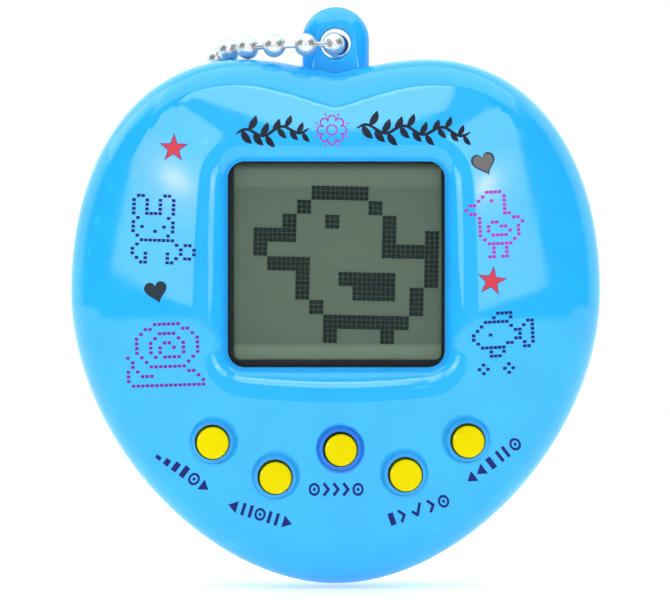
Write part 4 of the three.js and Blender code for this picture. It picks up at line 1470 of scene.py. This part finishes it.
def leaf(foot, length, lean, width):
    """A slanted pen-drawn leaf: thin at both ends and broad in the middle."""
    lean = math.radians(lean)
    way = np.array((math.cos(lean), math.sin(lean)))
    side = np.array((-way[1], way[0]))
    points = [np.array(foot) + way * length * s + side * bend * length for s, bend in LEAF_BENDS]
    first, last = LEAF_TIPS
    return stroke(points, [first, *(width * swell for swell in LEAF_SWELL), last])


def make_vine(name, start, end, leaves):
    """A wavy stem with leaves on alternate sides, slanted towards its tip."""
    start, end = np.array(start), np.array(end)
    shares = np.linspace(0, 1, leaves + 2)
    stem = start + (end - start) * shares[:, None]
    stem[:, 1] += VINE_WAVE * np.sin(shares * (leaves + 1) * math.pi / 3)
    end_width, width = STEM_WIDTHS
    bands = [stroke(stem, [end_width] + [width] * leaves + [end_width])]
    for i, foot in enumerate(stem[1:-1]):
        side = 1 if i % 2 else -1
        size = 1 - LEAF_SHRINK * shares[i + 1]
        bands.append(leaf(foot, LEAF_LENGTH * size, side * LEAF_LEAN, LEAF_WIDTH * size))
    inked(name, bands, "ink_dark")


def make_flower():
    """A line-drawn flower: rings of petals round a centre, and short rays between them."""
    centre = np.array(FLOWER_CENTRE)
    bands = [ring_band(centre, FLOWER_HEART, LINE_WIDTH, 32)]
    for i in range(PETALS["count"]):
        turn, ray = np.array((i, i + 0.5)) * 360 / PETALS["count"]
        petal, way = directions(np.radians((turn, ray)))
        bands.append(ring_band(centre + PETALS["out"] * petal, PETALS["radius"], LINE_WIDTH, 20,
                               turn - PETALS["sweep"], turn + PETALS["sweep"]))
        bands.append(stroke([centre + way * r for r in RAYS], RAY_WIDTHS, 3))
    inked("print_flower", bands, "ink_magenta")


def bar_mark(at, size, turn=0):
    """A plain bar with its centre, (width, height) and turn."""
    corners = np.array(SQUARE) * size / 2
    return np.array(at) + rotated(corners, turn), [(0, 1, 2, 3)]


def chevron(x):
    return [bar_mark((x, side * 0.22), (0.25, 0.74), side * 42) for side in (1, -1)]


def triangle(x, way=1):
    return [([(x - 0.4 * way, -0.5), (x + 0.45 * way, 0), (x - 0.4 * way, 0.5)], [(0, 1, 2)])]


def ring_mark(x):
    return [ring_band((x, 0), 0.42, 0.2, 20), bar_mark((x, 0), (0.24, 0.24), 45)]


def square_mark(x, share=1.0):
    return [bar_mark((x, -0.5 + 0.5 * share), (0.52, share))]


def bar_marks(*places):
    return [bar_mark((x, 0), (0.3, 1.0)) for x in places]


def tick(x):
    return [bar_mark((x - 0.24, -0.16), (0.25, 0.62), 42),
            bar_mark((x + 0.2, 0.06), (0.25, 1.1), -32)]


LABELS = {
    # name: (marks, centre, tilt); marks are laid out along x about 0, one unit high
    "label_status": (
        [*square_mark(-2.6, 0.3), *square_mark(-1.7, 0.55), *square_mark(-0.8, 0.8),
         *square_mark(0.1, 1.0), *ring_mark(1.2), *triangle(2.4)], (-15.62, -44.28), -37),
    "label_select": (
        [*triangle(-2.6, -1), *bar_marks(-1.6, -0.9), *ring_mark(0), *bar_marks(0.9, 1.6),
         *triangle(2.6)], (-7.76, -48.70), -17),
    "label_reset": (
        [*ring_mark(-2.0), *chevron(-0.9), *chevron(0.0), *chevron(0.9), *ring_mark(2.0)],
        (0.05, -46.1), 0),
    "label_decide": (
        [*square_mark(-2.7), *chevron(-1.7), *tick(-0.3), *chevron(1.1), *ring_mark(2.3)],
        (8.64, -48.2), 19),
    "label_cancel": (
        [*triangle(-2.8, -1), *triangle(-1.7, -1), *square_mark(-0.5), *bar_marks(0.5, 1.2),
         *ring_mark(2.3)], (16.40, -43.1), 38),
}
LABEL_SIZE = (1.12, 1.3)
BADGES = {
    # name: (loop, outline ink, fill ink)
    "star_left": (star_loop((-16.62, -11.14), 1.58, -2), "ink_purple", "ink_red"),
    "star_right": (star_loop((15.98, -24.78), 1.62, -8), "ink_purple", "ink_red"),
    "heart_left": (heart_loop((-18.41, -25.96), 2.35, 2.25, 8), "ink_slate", "ink_slate"),
    "heart_right": (heart_loop((15.19, -12.85), 2.46, 2.4, 14), "ink_slate", "ink_grey"),
}


def make_label(name, marks, centre, tilt):
    """A row of marks, scaled, tilted and moved to its place."""
    inked(name, [(np.array(centre) + rotated(np.asarray(flat, float) * LABEL_SIZE, tilt), faces)
                 for flat, faces in marks], "ink_navy")


for make, table in ((make_icon, ICONS), (make_badge, BADGES), (make_vine, VINES)):
    for name, settings in table.items():
        make(name, *settings)
make_flower()
for name, settings in LABELS.items():
    make_label(name, *settings)

# ---- Finishes of the inner parts ----

FINISHES = (
    # (material, edge break in mm, nodes)
    ("lens", 0.12, ["screen_lens"]),
    ("lcd_glass", 0.08, ["lcd_panel"]),
    ("white_plastic", 0.15, ["lcd_frame"]),
    ("dark_rubber", 0.15, ["lcd_connector"]),
    ("board", 0.06, ["circuit_board"]),
    ("black_epoxy", 0.1, ["controller_blob", "capacitor", "resistor"]),
    ("steel", 0.1, ["crystal_can", "board_screw_left", "board_screw_right"]),
    ("nickel", 0.06, ["battery_contact_upper", "battery_contact_lower", "battery_link_plate"]),
    ("brass", 0.05, ["buzzer_disc"]),
    ("ceramic", 0.04, ["buzzer_ceramic"]),
    ("red_wire", 0.05, ["buzzer_wire_red"]),
    ("black_wire", 0.05, ["buzzer_wire_black"]),
)
BEVELLED_FROM = 35  # degrees between faces


def finish_inner_parts():
    for material, width, nodes in FINISHES:
        for node in nodes:
            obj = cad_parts[node]
            if not obj.material_slots:
                obj.data.materials.append(None)
            for slot in obj.material_slots:
                slot.link = "OBJECT"
                slot.material = MATERIALS[material]
            bevel = obj.modifiers.new("edge_break", "BEVEL")
            bevel.width = width * MM
            bevel.segments = 2
            bevel.limit_method = "ANGLE"
            bevel.angle_limit = math.radians(BEVELLED_FROM)


finish_inner_parts()

# ---- Studio ----

TARGET = Vector((0.0, 0.0, -0.026))  # metres, like the light's distances
LIGHT_DISTANCE = 0.8
LAMP_STEP = 0.01
SOFTBOXES = {
    # name: (azimuth, elevation, width, height and roll in degrees, radiance)
    "left_panel": (-19.4, 12.3, 11.2, 26.0, -19, 3.2),
    "right_panel": (18.0, 11.3, 10.8, 26.0, 19, 3.1),
    "top_panel": (-5.0, 33.0, 22.0, 11.0, 0, 4.0),
    "top_strip": (-5.0, 37.3, 21.0, 2.6, 0, 3.5),
    "left_fringe": (-110.0, 40.0, 34.0, 30.0, 0, 1.1),
    "overhead": (0.0, 80.0, 80.0, 70.0, 0, 1.2),
}
LAMPS = {"left": (-19.7, 11.6, 1.0), "right": (18.4, 11.1, 0.85)}  # last, the glow's scale
# A lamp's glow: (degrees across, radiance) of discs one over another, the smallest rearmost.
GLOW = ((1.6, 2.8), (2.8, 2.6), (4.2, 2.0), (5.8, 1.3), (8.0, 0.9), (12.0, 0.8))
PANEL_TINT = (0.88, 1, 1)
LAMP_TINT = (1.2, 0.65, 0.8)
WORLD_TINT = (0.76, 1, 1, 1)
# The world's strength, and the angles from straight ahead or the heights where it changes.
FRONT_LIGHT = 0.42
SIDE_LIGHT = 0.05
REAR_LIGHT = 1.4
SKY_LIGHT = 0.95
FRONT_EDGE = (12, 17)
REAR_EDGE = (88, 110)
SKY_EDGE = (0.6, 0.8)
FLOOR_RADIUS = 520
FLOOR_SEGMENTS = 96
FLOOR_CLEARANCE = 0.0004


def make_softbox(name, azimuth, elevation, width, height, roll, radiance, nearer=None):
    """An area light seen from the toy in a direction: 0 is straight in front, 90 to the right.

    A light that stands nearer than the rest is one of a lamp's glowing discs.
    """
    across, up = math.radians(azimuth), math.radians(elevation)
    direction = Vector((math.sin(across) * math.cos(up), -math.cos(across) * math.cos(up),
                        math.sin(up)))
    data = bpy.data.lights.new(name, "AREA")
    data.shape = "RECTANGLE" if nearer is None else "ELLIPSE"
    distance = LIGHT_DISTANCE - (nearer or 0)
    data.size = 2 * distance * math.tan(math.radians(width / 2))
    data.size_y = 2 * distance * math.tan(math.radians(height / 2))
    area = data.size * data.size_y * (1 if nearer is None else math.pi / 4)
    data.energy = radiance * math.pi * area
    data.color = PANEL_TINT if nearer is None else LAMP_TINT
    light = bpy.data.objects.new(name, data)
    light.location = TARGET + direction * distance
    facing = (-direction).to_track_quat("-Z", "Y")
    light.rotation_euler = (facing @ Quaternion((0, 0, 1), math.radians(roll))).to_euler()
    bpy.context.scene.collection.objects.link(light)


def world_node(tree, kind, inputs, **settings):
    """A node with numbers set on its inputs and outputs linked to them; None leaves one alone."""
    node = tree.nodes.new(kind)
    for key, value in settings.items():
        setattr(node, key, value)
    for i, value in enumerate(inputs):
        if isinstance(value, (int, float)):
            node.inputs[i].default_value = value
        elif value is not None:
            tree.links.new(value, node.inputs[i])
    return node.outputs[0]


def smooth_step(tree, value, start, end, low, high):
    return world_node(tree, "ShaderNodeMapRange", (value, start, end, low, high),
                      interpolation_type="SMOOTHSTEP")


def make_world():
    """A studio: dim sides, a white backdrop behind the toy, light from above and in front."""
    world = bpy.data.worlds.new("studio")
    world.use_nodes = True
    tree = world.node_tree
    coords = tree.nodes.new("ShaderNodeTexCoord").outputs["Generated"]
    split = tree.nodes.new("ShaderNodeSeparateXYZ")
    tree.links.new(coords, split.inputs[0])
    x, y, z = split.outputs
    across = world_node(tree, "ShaderNodeMath", (x,), operation="ABSOLUTE")
    ahead = world_node(tree, "ShaderNodeMath", (y, -1), operation="MULTIPLY")
    turn = world_node(tree, "ShaderNodeMath", (across, ahead), operation="ARCTAN2")
    turn = world_node(tree, "ShaderNodeMath", (turn,), operation="DEGREES")
    front = smooth_step(tree, turn, *FRONT_EDGE, FRONT_LIGHT, SIDE_LIGHT)
    rear = smooth_step(tree, turn, *REAR_EDGE, 0, 1)
    above = smooth_step(tree, z, *SKY_EDGE, 0, 1)
    level = world_node(tree, "ShaderNodeMix", (rear, None, front, REAR_LIGHT))
    level = world_node(tree, "ShaderNodeMix", (above, None, level, SKY_LIGHT))
    camera_ray = tree.nodes.new("ShaderNodeLightPath").outputs["Is Camera Ray"]
    level = world_node(tree, "ShaderNodeMix", (camera_ray, None, level, 1.0))
    colour = tree.nodes.new("ShaderNodeMix")
    colour.data_type = "RGBA"
    tree.links.new(camera_ray, colour.inputs[0])
    colour.inputs[6].default_value = WORLD_TINT
    colour.inputs[7].default_value = (1, 1, 1, 1)
    tree.links.new(colour.outputs[2], tree.nodes["Background"].inputs["Color"])
    tree.links.new(level, tree.nodes["Background"].inputs["Strength"])
    bpy.context.scene.world = world


def make_floor():
    """A pale, level disc just under the toy."""
    height = (CAD_BOX[0][2] - FLOOR_CLEARANCE) / MM
    rings = [[(r * math.cos(a), r * math.sin(a), height) for a in full_turn(FLOOR_SEGMENTS)]
             for r in (FLOOR_RADIUS / 2, FLOOR_RADIUS)]
    points, faces = lofted(rings, capped=False)
    floor = add_mesh("floor", points, [*faces, tuple(range(FLOOR_SEGMENTS))])
    made = Material("pale_floor", 0.6, Emission_Color=(0.9, 0.92, 0.92, 1), Emission_Strength=0.5)
    made.colour(made.mottle(linear(226, 226, 226), 0.01, 40)).gloss(0.05, 8)
    floor.data.materials.append(made.data)


def make_studio():
    for name, settings in SOFTBOXES.items():
        make_softbox(name, *settings)
    for side, (azimuth, elevation, size) in LAMPS.items():
        for i, (width, radiance) in enumerate(GLOW):
            make_softbox(f"{side}_lamp_{i}", azimuth, elevation, width * size, width * size, 0,
                         radiance, LAMP_STEP * (i + 1))
    make_world()
    make_floor()
    bpy.context.scene.view_settings.view_transform = "Standard"
    bpy.context.scene.view_settings.look = "None"


make_studio()
